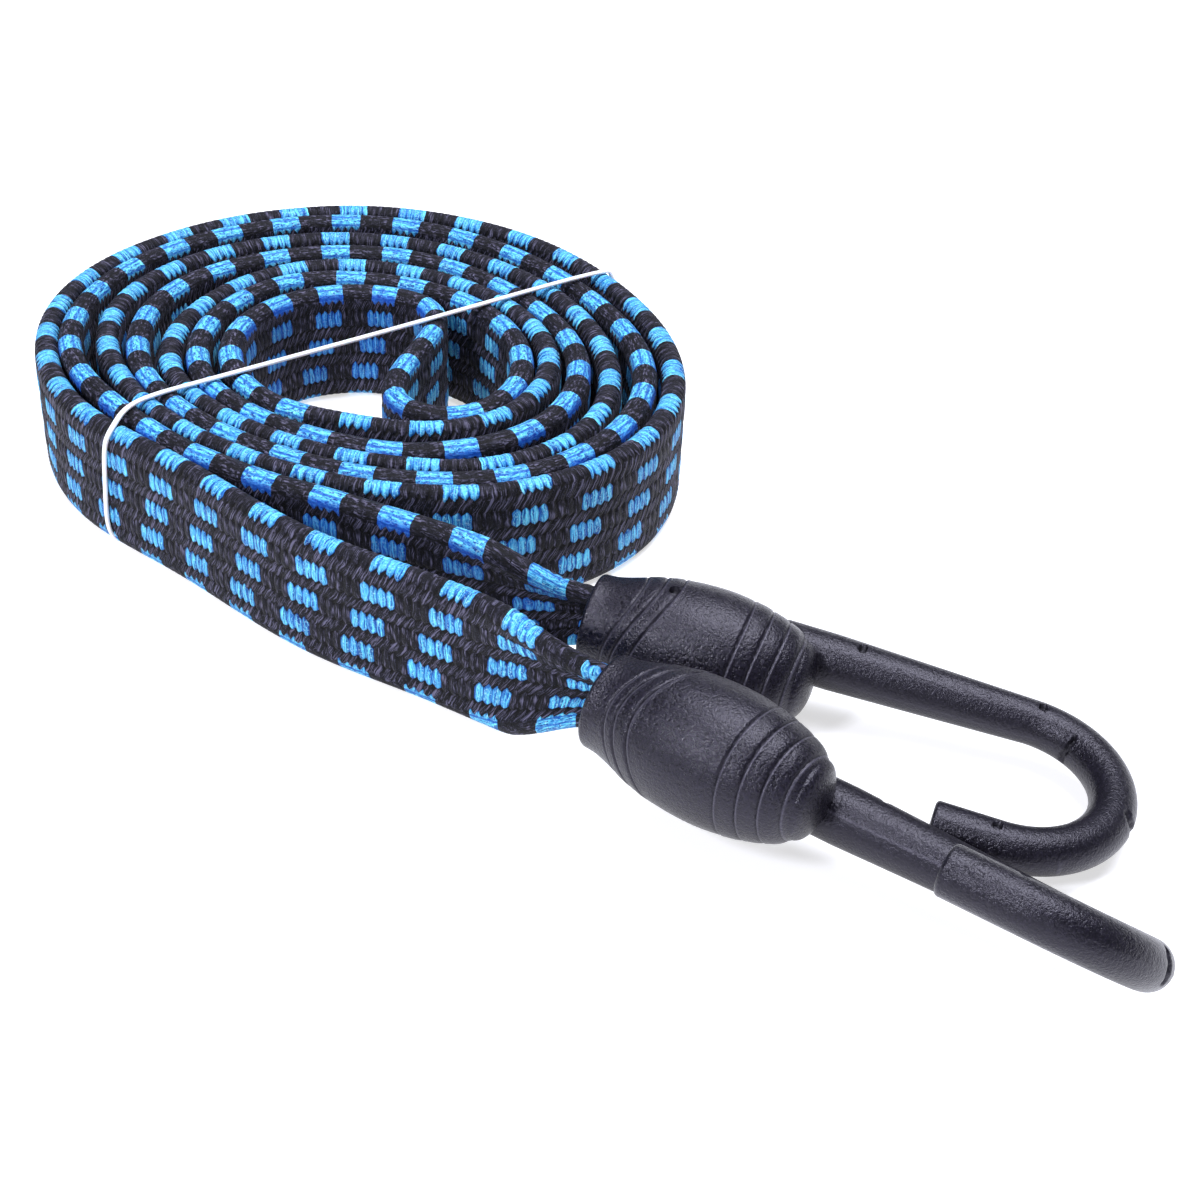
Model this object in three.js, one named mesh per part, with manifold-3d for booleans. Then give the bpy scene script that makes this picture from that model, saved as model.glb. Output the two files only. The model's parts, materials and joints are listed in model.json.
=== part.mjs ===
// Flat bungee cord: 20 mm woven elastic strap, wound on edge into a tied coil,
// with a moulded barrel head and a coated wire hook on each end.
// Millimetres, +Z up, standing on z = 0. +X runs along the two free ends, towards the hooks.
import * as THREE from 'three';
import { mergeVertices } from 'three/addons/utils/BufferGeometryUtils.js';
import Module from 'manifold-3d';

// ---------------------------------------------------------------- driving dimensions
const STRAP_W = 20.0;          // width of the strap, which stands on its edge
const STRAP_T = 3.8;           // thickness of the strap
const SLEEVE_WALL = 0.75;      // woven cover
const GAP = 0.3;               // clearance between touching pieces
const HEAD_L = 29.5;           // barrel head, from its mouth to the plane where the nose starts to close
const NOSE_L = 1.8;            // rounded end past that plane
const HEAD_PROFILE = [         // distance back from the nose, radius
  [-1.7, 1.1], [-1.4, 2.3], [-0.9, 3.4], [-0.3, 4.35], [0.4, 5.25], [1.3, 6.05], [3.0, 6.95], [5.5, 7.8], [8.5, 8.5], [11.5, 8.9],
  [14.5, 8.95], [17.5, 8.75], [20.5, 8.25], [23.5, 7.5], [26.0, 6.75], [27.3, 6.45], [29.1, 6.3], [29.5, 5.95],
];
const POCKET_R = 5.35, POCKET_D = 5.3;   // the mouth that the strap enters
const SHANK_OFF = 6.1;         // hook shank's offset from the head's axis, away from the throat
const SHANK_L = 29.6;          // nose to start of bend
const BEND_R = 12.65;          // centre-line radius of the hook's bend
const LEG_L = 8.4;             // straight return leg
const COAT_R_ROOT = 3.85, COAT_R = 3.02; // coated rod near the head and past the taper
const COAT_TAPER = 30.0;
const COAT_TIP_WALL = 1.6;     // plastic past the end of the wire
const WIRE_R = 2.1;            // steel wire
const WIRE_Y_IN = 4.6;         // wire's offset inside the head
const FOOT_X = -11.6;          // cross foot of the wire, which the strap's end is folded round
const FOOT_END_Y = -4.6;
const FOLD_W = 7.4, FOLD_T = 1.55;       // squeezed strap end: width and thickness of one layer
const FOLD_Y = -1.9;           // middle of its width
const CRIMP_X0 = -22.6, CRIMP_L = 5.0, CRIMP_T = 0.8;
const TIE_R = 0.4;             // bundle tie
// head positions: nose centre on the head's axis, heading, dip, twist (degrees)
const ENDS = {
  rear:  { nose: [43.55, -14.80, 8.44], az: 18.21, el: -4.90, roll: -0.98 },
  front: { nose: [59.37, -38.44, 12.22], az: 3.58, el: -3.06, roll: 42.2 },
};
// plan routes of the two free strap ends, from the coil to inside the mouth
const TAIL_FRONT = [
  [-45.19, -40.83], [-40.19, -41.21], [-35.19, -41.68], [-30.2, -42.15], [-25.2, -42.5], [-20.18, -42.63], [-15.18, -42.42], [-10.19, -41.89],
  [-5.21, -41.18], [-0.23, -40.49], [4.78, -39.98], [9.82, -39.84], [14.86, -39.98], [19.89, -40.23], [24.94, -40.43], [29.96, -40.38],
  [34.96, -39.92],
];
const TAIL_REAR = [
  [-23.34, -33.42], [-18.42, -32.47], [-13.5, -31.49], [-8.59, -30.46], [-3.7, -29.38], [1.19, -28.23], [6.04, -26.97], [10.86, -25.59],
  [15.64, -24.07], [20.36, -22.37],
];
const SPLIT_FRONT = 0.52, SPLIT_REAR = 0.47;   // where each free end is divided into root and tip
// plan outline of the wound coil (seven strands of strap side by side) and its two open middles
const COIL_OUTLINE = [
  [-53.32, -42.47], [-49.92, -42.37], [-49.67, -41.92], [-49.97, -41.12], [-49.87, -39.92], [-48.92, -38.77], [-47.92, -38.47], [-47.67, -38.22],
  [-47.42, -36.77], [-46.42, -36.87], [-45.42, -37.37], [-44.22, -38.57], [-42.82, -38.67], [-33.52, -37.77], [-29.42, -36.97], [-25.02, -35.77],
  [-24.77, -35.32], [-25.47, -34.22], [-25.57, -33.02], [-25.27, -32.22], [-23.97, -31.12], [-24.02, -29.47], [-22.52, -29.47], [-20.82, -30.17],
  [-16.32, -27.87], [-12.12, -25.07], [-9.92, -23.37], [-6.77, -20.42], [-4.57, -17.82], [-1.47, -12.92], [0.53, -8.52], [2.13, -3.22],
  [2.73, 0.88], [2.83, 6.68], [2.53, 10.08], [1.93, 13.18], [0.53, 17.68], [-0.67, 20.58], [-3.07, 25.08], [-5.57, 28.78],
  [-8.77, 32.68], [-12.62, 36.53], [-15.72, 39.13], [-20.32, 42.43], [-24.82, 45.13], [-30.52, 47.93], [-34.72, 49.63], [-40.02, 51.43],
  [-45.82, 52.83], [-51.12, 53.63], [-57.02, 53.83], [-63.42, 53.43], [-68.32, 52.53], [-73.92, 50.83], [-77.62, 49.33], [-82.52, 46.73],
  [-86.92, 43.63], [-88.92, 41.93], [-91.57, 39.28], [-93.87, 36.58], [-96.67, 32.68], [-99.67, 27.48], [-101.67, 22.78], [-103.37, 17.38],
  [-104.27, 12.98], [-104.77, 8.58], [-104.87, 0.28], [-104.67, -1.92], [-103.57, -7.72], [-101.97, -12.62], [-100.37, -16.22], [-97.77, -20.62],
  [-94.37, -25.12], [-90.52, -29.07], [-86.82, -32.17], [-82.02, -35.47], [-77.82, -37.77], [-72.92, -39.77], [-68.02, -41.17], [-64.62, -41.77],
  [-60.82, -42.17],
];
const COIL_HOLES = [[
  [-48.52, -17.07], [-52.32, -16.47], [-54.92, -15.67], [-58.52, -13.97], [-61.62, -11.87], [-64.37, -9.22], [-66.67, -6.02], [-67.97, -3.22],
  [-68.97, 0.78], [-69.07, 3.78], [-68.17, 8.18], [-66.67, 11.48], [-64.57, 14.28], [-62.32, 16.33], [-60.82, 17.33], [-58.12, 18.63],
  [-56.32, 19.13], [-54.42, 19.33], [-52.62, 19.03], [-51.52, 18.43], [-50.82, 18.13], [-49.37, 16.78], [-47.97, 14.68], [-45.97, 10.38],
  [-42.77, 1.38], [-40.47, -3.22], [-38.32, -5.87], [-36.12, -7.57], [-33.72, -8.47], [-31.22, -8.67], [-30.37, -9.32], [-30.07, -10.22],
  [-30.37, -11.12], [-31.32, -11.87], [-38.72, -15.07], [-42.72, -16.37], [-45.82, -16.97],
], [
  [-32.22, -4.77], [-34.52, -3.87], [-36.97, -1.32], [-39.07, 2.78], [-42.57, 12.48], [-44.27, 16.18], [-46.57, 19.58], [-48.62, 21.33],
  [-49.37, 22.28], [-49.47, 22.78], [-49.17, 23.68], [-48.72, 24.13], [-47.82, 24.43], [-44.82, 23.93], [-43.22, 23.43], [-40.92, 22.73],
  [-38.12, 21.43], [-35.12, 19.63], [-32.92, 17.93], [-30.17, 15.18], [-28.47, 12.98], [-26.97, 10.48], [-26.07, 8.48], [-25.37, 6.18],
  [-24.97, 3.68], [-24.97, 1.98], [-25.37, -0.22], [-25.67, -0.92], [-26.57, -2.42], [-27.52, -3.37], [-28.62, -4.07], [-30.92, -4.77],
]];
const TIE_BACK = [-37.262, 50.964], TIE_FRONT = [-60.374, -42.671];

// ---------------------------------------------------------------- helpers
const wasm = await Module(); wasm.setup();
const { Manifold, Mesh: MMesh } = wasm;

function clean(geo) {
  const g = new THREE.BufferGeometry();
  g.setAttribute('position', (geo.index ? geo.toNonIndexed() : geo).getAttribute('position').clone());
  return mergeVertices(g, 1e-4);
}
function toManifold(geo) {
  const g = clean(geo);
  const m = new MMesh({ numProp: 3, vertProperties: new Float32Array(g.attributes.position.array), triVerts: new Uint32Array(g.index.array) });
  m.merge();
  let s = new Manifold(m);
  return s;
}
function fromManifold(man) {
  const m = man.getMesh();
  const g = new THREE.BufferGeometry();
  const pos = new Float32Array(m.numVert * 3);
  for (let i = 0; i < m.numVert; i++) for (let k = 0; k < 3; k++) pos[i * 3 + k] = m.vertProperties[i * m.numProp + k];
  g.setAttribute('position', new THREE.BufferAttribute(pos, 3));
  g.setIndex(new THREE.BufferAttribute(new Uint32Array(m.triVerts), 1));
  return g;
}
function solid(base, cuts = [], adds = []) {
  let s = toManifold(base);
  for (const a of adds) s = s.add(toManifold(a));
  for (const c of cuts) s = s.subtract(toManifold(c));
  return fromManifold(s);
}
function material(color, roughness, metalness) { return new THREE.MeshStandardMaterial({ color, roughness, metalness }); }
function mesh(name, geo, mat) {
  const g = geo.clone(); g.computeVertexNormals();
  const m = new THREE.Mesh(g, mat); m.name = name; return m;
}
const smooth = (t) => { t = Math.min(1, Math.max(0, t)); return t * t * (3 - 2 * t); };

// regular polygon section
function disc(r, n) {
  const s = new THREE.Shape();
  for (let i = 0; i < n; i++) { const a = (i + 0.5) / n * 2 * Math.PI; i ? s.lineTo(r * Math.cos(a), r * Math.sin(a)) : s.moveTo(r * Math.cos(a), r * Math.sin(a)); }
  s.closePath(); return s;
}
// rod along a plane curve in local XY, with a radius that may change along it
function rod(points, n, radius, steps) {
  const path = new THREE.CurvePath();
  const curve = new THREE.CatmullRomCurve3(points, false, 'centripetal');
  const g = new THREE.ExtrudeGeometry(disc(1, n), { steps, extrudePath: curve, bevelEnabled: false });
  const p = g.attributes.position, v = new THREE.Vector3();
  const L = curve.getLength(), N = steps;
  const C = curve.getSpacedPoints(N);
  for (let i = 0; i < p.count; i++) {
    v.fromBufferAttribute(p, i);
    let best = 0, bd = 1e9;
    for (let k = 0; k <= N; k++) { const d = v.distanceToSquared(C[k]); if (d < bd) { bd = d; best = k; } }
    const r = radius(best / N * L, C[best]);
    v.sub(C[best]).multiplyScalar(r).add(C[best]);
    p.setXYZ(i, v.x, v.y, v.z);
  }
  return g;
}
// centre line of the hook, in the head's own frame: x forward from the nose, +y away from the throat
function hookLine(xStart, endTrim) {
  const pts = [];
  const y = (x) => WIRE_Y_IN + (SHANK_OFF - WIRE_Y_IN) * smooth((x + 8.5) / 4.5);
  for (let x = xStart; x < 3.5; x += 1.0) pts.push(new THREE.Vector3(x, y(x), 0));
  for (let x = 5.5; x < SHANK_L - 1; x += 4.6) pts.push(new THREE.Vector3(x, SHANK_OFF, 0));
  const nB = 18;
  for (let i = 0; i <= nB; i++) { const t = i / nB * Math.PI; pts.push(new THREE.Vector3(SHANK_L + BEND_R * Math.sin(t), SHANK_OFF - BEND_R * (1 - Math.cos(t)), 0)); }
  const leg = LEG_L - endTrim;
  for (let i = 1; i <= 3; i++) pts.push(new THREE.Vector3(SHANK_L - leg * i / 3, SHANK_OFF - 2 * BEND_R, 0));
  return pts;
}
const coatR = (p) => {
  const past = p.x < SHANK_L && p.y > -BEND_R + SHANK_OFF ? p.x : COAT_TAPER;
  if (past < 3) return 2.85 + (COAT_R_ROOT - 2.85) * smooth((past + 7) / 3);
  return COAT_R + (COAT_R_ROOT - COAT_R) * Math.max(0, 1 - (past - 3) / (COAT_TAPER - 3));
};

// ---------------------------------------------------------------- moulded head with its hook
function headAndHook(tag, mats) {
  const g = new THREE.Group(); g.name = 'end_' + tag;
  // barrel: closed profile turned round the head's axis, then the inner spaces are taken out
  const prof = [new THREE.Vector2(0, NOSE_L)];
  for (const [d, r] of HEAD_PROFILE) prof.push(new THREE.Vector2(r, -d));
  prof.push(new THREE.Vector2(0, -HEAD_L)); prof.reverse();
  const barrel = new THREE.LatheGeometry(prof, 36); barrel.rotateZ(-Math.PI / 2);
  const pocket = new THREE.CylinderGeometry(POCKET_R, POCKET_R, POCKET_D + 2, 20);
  pocket.rotateZ(Math.PI / 2); pocket.translate(-HEAD_L + (POCKET_D - 2) / 2, 0, 0);
  // squeezed strap end: two layers through the crimp and a loop round the wire's foot
  const foldShape = (grow) => {
    const ro = WIRE_R + GAP + FOLD_T + grow, t = FOLD_T + grow, x0 = -HEAD_L + POCKET_D + GAP - grow;
    const s = new THREE.Shape();
    s.moveTo(x0, -t);
    s.lineTo(FOOT_X - ro * 1.15, -t);
    const a0 = Math.PI * 0.80;
    for (let i = 0; i <= 20; i++) { const a = -a0 + i / 20 * 2 * a0; s.lineTo(FOOT_X + ro * Math.cos(a), ro * Math.sin(a)); }
    s.lineTo(FOOT_X - ro * 1.15, t);
    s.lineTo(x0, t);
    s.closePath();
    return s;
  };
  const foldSolid = (grow, hole) => {
    const s = foldShape(grow);
    if (hole) { const h = new THREE.Path(); const r = WIRE_R + GAP; for (let i = 0; i <= 16; i++) { const a = i / 16 * 2 * Math.PI; i ? h.lineTo(FOOT_X + r * Math.cos(a), r * Math.sin(a)) : h.moveTo(FOOT_X + r * Math.cos(a), r * Math.sin(a)); } s.holes.push(h); }
    const e = new THREE.ExtrudeGeometry(s, { depth: FOLD_W + 2 * grow, bevelEnabled: false, curveSegments: 1 });
    e.rotateX(Math.PI / 2); e.translate(0, FOLD_Y + FOLD_W / 2 + grow, 0);
    return e;
  };
  // crimp ferrule round both layers
  const crimpBox = (gin) => new THREE.BoxGeometry(CRIMP_L + 2 * gin, FOLD_W + 2 * (GAP + CRIMP_T + gin), 2 * (FOLD_T + GAP + CRIMP_T + gin)).translate(CRIMP_X0 + CRIMP_L / 2, FOLD_Y, 0);
  // wire: foot inside the head, shank, bend and leg
  const footPts = [];
  for (let i = 0; i <= 3; i++) footPts.push(new THREE.Vector3(FOOT_X, FOOT_END_Y + (WIRE_Y_IN - 2.6 - FOOT_END_Y) * i / 3, 0));
  for (let i = 1; i <= 4; i++) { const a = i / 4 * Math.PI / 2; footPts.push(new THREE.Vector3(FOOT_X + 2.6 * (1 - Math.cos(a)), WIRE_Y_IN - 2.6 + 2.6 * Math.sin(a), 0)); }
  const wirePts = footPts.concat(hookLine(-7.4, COAT_TIP_WALL + GAP));
  const wire = rod(wirePts, 10, () => WIRE_R, 62);
  const wireSpace = rod([new THREE.Vector3(FOOT_X, FOOT_END_Y - GAP, 0)].concat(footPts.slice(1), hookLine(-7.4, 0).slice(0, 13)), 10, () => WIRE_R + GAP * 1.05, 30);
  const coatPts = hookLine(-7, 0);
  const coat = rod(coatPts, 14, (s, p) => coatR(p), 52);
  const coatSpace = rod(coatPts.slice(0, 13), 14, (s, p) => coatR(p) + GAP * 1.05, 22);
  const bore = rod([new THREE.Vector3(-8.7, WIRE_Y_IN, 0)].concat(hookLine(-7, COAT_TIP_WALL)), 10, () => WIRE_R + GAP, 60);

  g.add(mesh('barrel_head_' + tag, solid(barrel, [pocket, foldSolid(GAP, false), crimpBox(GAP), wireSpace, coatSpace]), mats.plastic));
  g.add(mesh('hook_coating_' + tag, solid(coat, [bore]), mats.coat));
  g.add(mesh('hook_wire_' + tag, clean(wire), mats.steel));
  g.add(mesh('folded_strap_end_' + tag, solid(foldSolid(0, true)), mats.weave));
  const inner = new THREE.BoxGeometry(CRIMP_L + 2, FOLD_W + 2 * GAP, 2 * (FOLD_T + GAP)).translate(CRIMP_X0 + CRIMP_L / 2, FOLD_Y, 0);
  g.add(mesh('crimp_ferrule_' + tag, solid(crimpBox(0), [inner]), mats.crimp));
  const e = ENDS[tag];
  g.rotation.order = 'ZYX';
  g.rotation.set(-THREE.MathUtils.degToRad(e.roll), -THREE.MathUtils.degToRad(e.el), THREE.MathUtils.degToRad(e.az));
  g.position.set(...e.nose);
  return g;
}

// ---------------------------------------------------------------- free strap ends
// A flat ribbon on edge that cups towards -Y and narrows into the head's mouth.
function tailMap(tag) {
  const route = tag === 'front' ? TAIL_FRONT : TAIL_REAR;
  const curve = new THREE.CatmullRomCurve3(route.map(([x, y]) => new THREE.Vector3(x, y, 0)), false, 'centripetal');
  const L = curve.getLength(), e = ENDS[tag];
  const mouthZ = e.nose[2] - Math.sin(THREE.MathUtils.degToRad(e.el)) * HEAD_L * 0.92;
  const curl = (s) => smooth((s - (L - 31.4)) / 31);            // 0 flat, 1 at the mouth
  const neck = (s) => smooth((s - (L - 18)) / 13.5);              // full width until close to the mouth
  return {
    L,
    at(s, a, b) {                                               // a across the width, b through the thickness, both -1..1
      const u = Math.min(1, Math.max(0, s / L)), p = curve.getPointAt(u), t = curve.getTangentAt(u);
      const front = new THREE.Vector3(t.y, -t.x, 0);            // towards the open side of the cup
      const c = curl(s);
      const w = STRAP_W * (1 - 0.45 * neck(s)), th = STRAP_T * (1 - 0.36 * c), ang = 0.0004 + 3.35 * c, r = w / ang;
      const phi = a * ang / 2;
      const rho = r - b.off - b.n * th / 2;
      const shift = c * Math.min(r, 3.4);
      const zc = STRAP_W / 2 + (mouthZ - STRAP_W / 2) * smooth((s - (L - 38)) / 36);
      const q = p.clone().addScaledVector(front, r - shift - rho * Math.cos(phi));
      q.z = zc + rho * Math.sin(phi);
      return q;
    },
  };
}
// box with length, thickness and width mapped on to the ribbon
function ribbon(map, s0, s1, n, inset, grow = 0) {
  const g = new THREE.BoxGeometry(1, 1, 1, n, 1, 6), p = g.attributes.position;
  for (let i = 0; i < p.count; i++) {
    const s = s0 + (p.getX(i) + 0.5) * (s1 - s0);
    const side = -Math.sign(p.getY(i)), a = p.getZ(i) * 2;
    const q = map.at(s, a * (1 - 2 * inset / STRAP_W), { n: side * (1 - 2 * inset / STRAP_T), off: 0 });
    p.setXYZ(i, q.x, q.y, q.z);
  }
  return g;
}
function tailPieces(tag, mats) {
  const map = tailMap(tag), cut = map.L * (tag === 'front' ? SPLIT_FRONT : SPLIT_REAR);
  const out = [];
  for (const [part, s0, s1] of [['root', 0.55, cut - GAP / 2], ['tip', cut + GAP / 2, map.L - 0.7]]) {
    const n = Math.max(5, Math.round((s1 - s0) / 4.2));
    const outer = ribbon(map, s0, s1, n, 0), hollow = ribbon(map, s0 - (s0 > 1 ? 0.2 : 0.5), s1 + (s1 < map.L ? 0.2 : 0), n, SLEEVE_WALL);
    // the hollow is run out past both ends
    const d = 0.6, hp = hollow.attributes.position;
    const A = map.at(s0, 0, { n: 0, off: 0 }), A2 = map.at(s0 + 1, 0, { n: 0, off: 0 }), B = map.at(s1, 0, { n: 0, off: 0 }), B2 = map.at(s1 - 1, 0, { n: 0, off: 0 });
    const ta = A.clone().sub(A2).setZ(0).normalize().multiplyScalar(d), tb = B.clone().sub(B2).setZ(0).normalize().multiplyScalar(d);
    const src = new THREE.BoxGeometry(1, 1, 1, n, 1, 6).attributes.position;
    for (let i = 0; i < hp.count; i++) {
      if (src.getX(i) < -0.499) hp.setXYZ(i, hp.getX(i) + ta.x, hp.getY(i) + ta.y, hp.getZ(i));
      if (src.getX(i) > 0.499) hp.setXYZ(i, hp.getX(i) + tb.x, hp.getY(i) + tb.y, hp.getZ(i));
    }
    out.push(mesh(`strap_sleeve_${tag}_${part}`, solid(outer, [hollow]), mats.weave));
    out.push(mesh(`latex_core_${tag}_${part}`, clean(ribbon(map, s0, s1, n, SLEEVE_WALL + GAP * 0.8)), mats.latex));
  }
  return out;
}

// ---------------------------------------------------------------- coil and tie
function shapeOf(pts, hole) {
  const s = hole ? new THREE.Path() : new THREE.Shape();
  pts.forEach(([x, y], i) => (i ? s.lineTo(x, y) : s.moveTo(x, y)));
  s.closePath(); return s;
}
const coilShape = shapeOf(COIL_OUTLINE, false);
for (const h of COIL_HOLES) coilShape.holes.push(shapeOf(h, true));
const coilGeo = new THREE.ExtrudeGeometry(coilShape, { depth: STRAP_W, bevelEnabled: false, curveSegments: 1 });
const tieDir = new THREE.Vector2(TIE_FRONT[0] - TIE_BACK[0], TIE_FRONT[1] - TIE_BACK[1]);
const tieLen = tieDir.length(), tieAng = Math.atan2(tieDir.y, tieDir.x);
const grooveAt = (z) => new THREE.BoxGeometry(tieLen + 6, 1.5, 3.0).rotateZ(tieAng).translate((TIE_FRONT[0] + TIE_BACK[0]) / 2, (TIE_FRONT[1] + TIE_BACK[1]) / 2, z);

const WEAVE = material('#23262b', 0.82, 0.0);
const LATEX = material('#c9b48a', 0.75, 0.0);
const TIE = material('#eef0f2', 0.55, 0.0);
const root = new THREE.Group(); root.name = 'flat_bungee_cord';
root.add(mesh('wound_strap_coil', solid(coilGeo, [grooveAt(0), grooveAt(STRAP_W)]), WEAVE));

// tie: a closed loop of thin cord round the whole coil
{
  const h0 = 0.75, h1 = STRAP_W - 0.75 + 0.55, out = 0.85;
  const ux = tieDir.x / tieLen, uy = tieDir.y / tieLen;
  const at = (d, z) => new THREE.Vector3(TIE_BACK[0] + ux * d, TIE_BACK[1] + uy * d, z);
  const a = -out, b = tieLen + out, r = 1.3, pts = [];
  const corner = (cx, cz, a0) => { for (let i = 0; i <= 4; i++) { const t = a0 + i / 4 * Math.PI / 2; pts.push(at(cx + r * Math.cos(t), cz + r * Math.sin(t))); } };
  corner(b - r, h1 - r, 0);
  for (let i = 1; i < 10; i++) pts.push(at(b - r - (b - a - 2 * r) * i / 10, h1));
  corner(a + r, h1 - r, Math.PI / 2);
  for (let i = 1; i < 4; i++) pts.push(at(a, h1 - r - (h1 - h0 - 2 * r) * i / 4));
  corner(a + r, h0 + r, Math.PI);
  for (let i = 1; i < 10; i++) pts.push(at(a + r + (b - a - 2 * r) * i / 10, h0));
  corner(b - r, h0 + r, Math.PI * 1.5);
  for (let i = 1; i < 4; i++) pts.push(at(b, h0 + r + (h1 - h0 - 2 * r) * i / 4));
  const loop = new THREE.CatmullRomCurve3(pts, true, 'centripetal');
  const tie = new THREE.ExtrudeGeometry(disc(TIE_R, 8), { steps: 76, extrudePath: loop, bevelEnabled: false });
  root.add(mesh('bundle_tie', clean(tie), TIE));
}
for (const tag of ['front', 'rear']) {
  const mats = {
    plastic: material('#3b3a40', 0.5, 0.0), coat: material('#37363c', 0.48, 0.0),
    steel: material('#8d9094', 0.35, 0.9), crimp: material('#a7a9ab', 0.4, 0.9), weave: WEAVE.clone(), latex: LATEX.clone(),
  };
  for (const m of tailPieces(tag, mats)) root.add(m);
  root.add(headAndHook(tag, mats));
}

export default root;
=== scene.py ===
import json
import math
import bpy
import bmesh
import numpy as np
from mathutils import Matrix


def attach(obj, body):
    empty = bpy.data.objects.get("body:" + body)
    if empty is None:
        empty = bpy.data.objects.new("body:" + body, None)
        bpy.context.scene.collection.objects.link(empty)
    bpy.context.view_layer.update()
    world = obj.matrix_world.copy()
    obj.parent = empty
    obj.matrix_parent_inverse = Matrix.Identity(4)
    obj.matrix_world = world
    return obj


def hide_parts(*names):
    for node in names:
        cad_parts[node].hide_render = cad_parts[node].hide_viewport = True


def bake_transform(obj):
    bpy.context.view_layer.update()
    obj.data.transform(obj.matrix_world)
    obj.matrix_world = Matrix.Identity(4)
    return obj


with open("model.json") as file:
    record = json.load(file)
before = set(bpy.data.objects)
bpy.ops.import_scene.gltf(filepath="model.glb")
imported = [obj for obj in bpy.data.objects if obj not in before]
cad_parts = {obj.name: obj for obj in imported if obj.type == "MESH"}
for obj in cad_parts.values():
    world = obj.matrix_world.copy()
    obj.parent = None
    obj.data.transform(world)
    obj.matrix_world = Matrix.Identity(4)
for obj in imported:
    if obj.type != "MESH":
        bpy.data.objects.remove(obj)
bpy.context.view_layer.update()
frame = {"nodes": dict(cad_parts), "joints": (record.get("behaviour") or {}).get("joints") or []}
MM = 0.001

# ------------------------------------------------------------------ camera
CAM_POS = np.array([136.633, -194.744, 158.781])
CAM_RIGHT, CAM_UP, CAM_BACK = [[0.800868, 0.597279, 0.043226], [-0.36893, 0.435249, 0.821248], [0.471701, -0.673659, 0.568931]]
scene = bpy.context.scene
cam = bpy.data.cameras.new("camera")
cam.sensor_width = 36.0
cam.lens = 56.99
cam.clip_start = 0.01
cam_ob = bpy.data.objects.new("camera", cam)
scene.collection.objects.link(cam_ob)
from mathutils import Matrix, Vector
cam_ob.matrix_world = Matrix((
    (CAM_RIGHT[0], CAM_UP[0], CAM_BACK[0], CAM_POS[0] * MM),
    (CAM_RIGHT[1], CAM_UP[1], CAM_BACK[1], CAM_POS[1] * MM),
    (CAM_RIGHT[2], CAM_UP[2], CAM_BACK[2], CAM_POS[2] * MM),
    (0, 0, 0, 1)))
scene.camera = cam_ob

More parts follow.
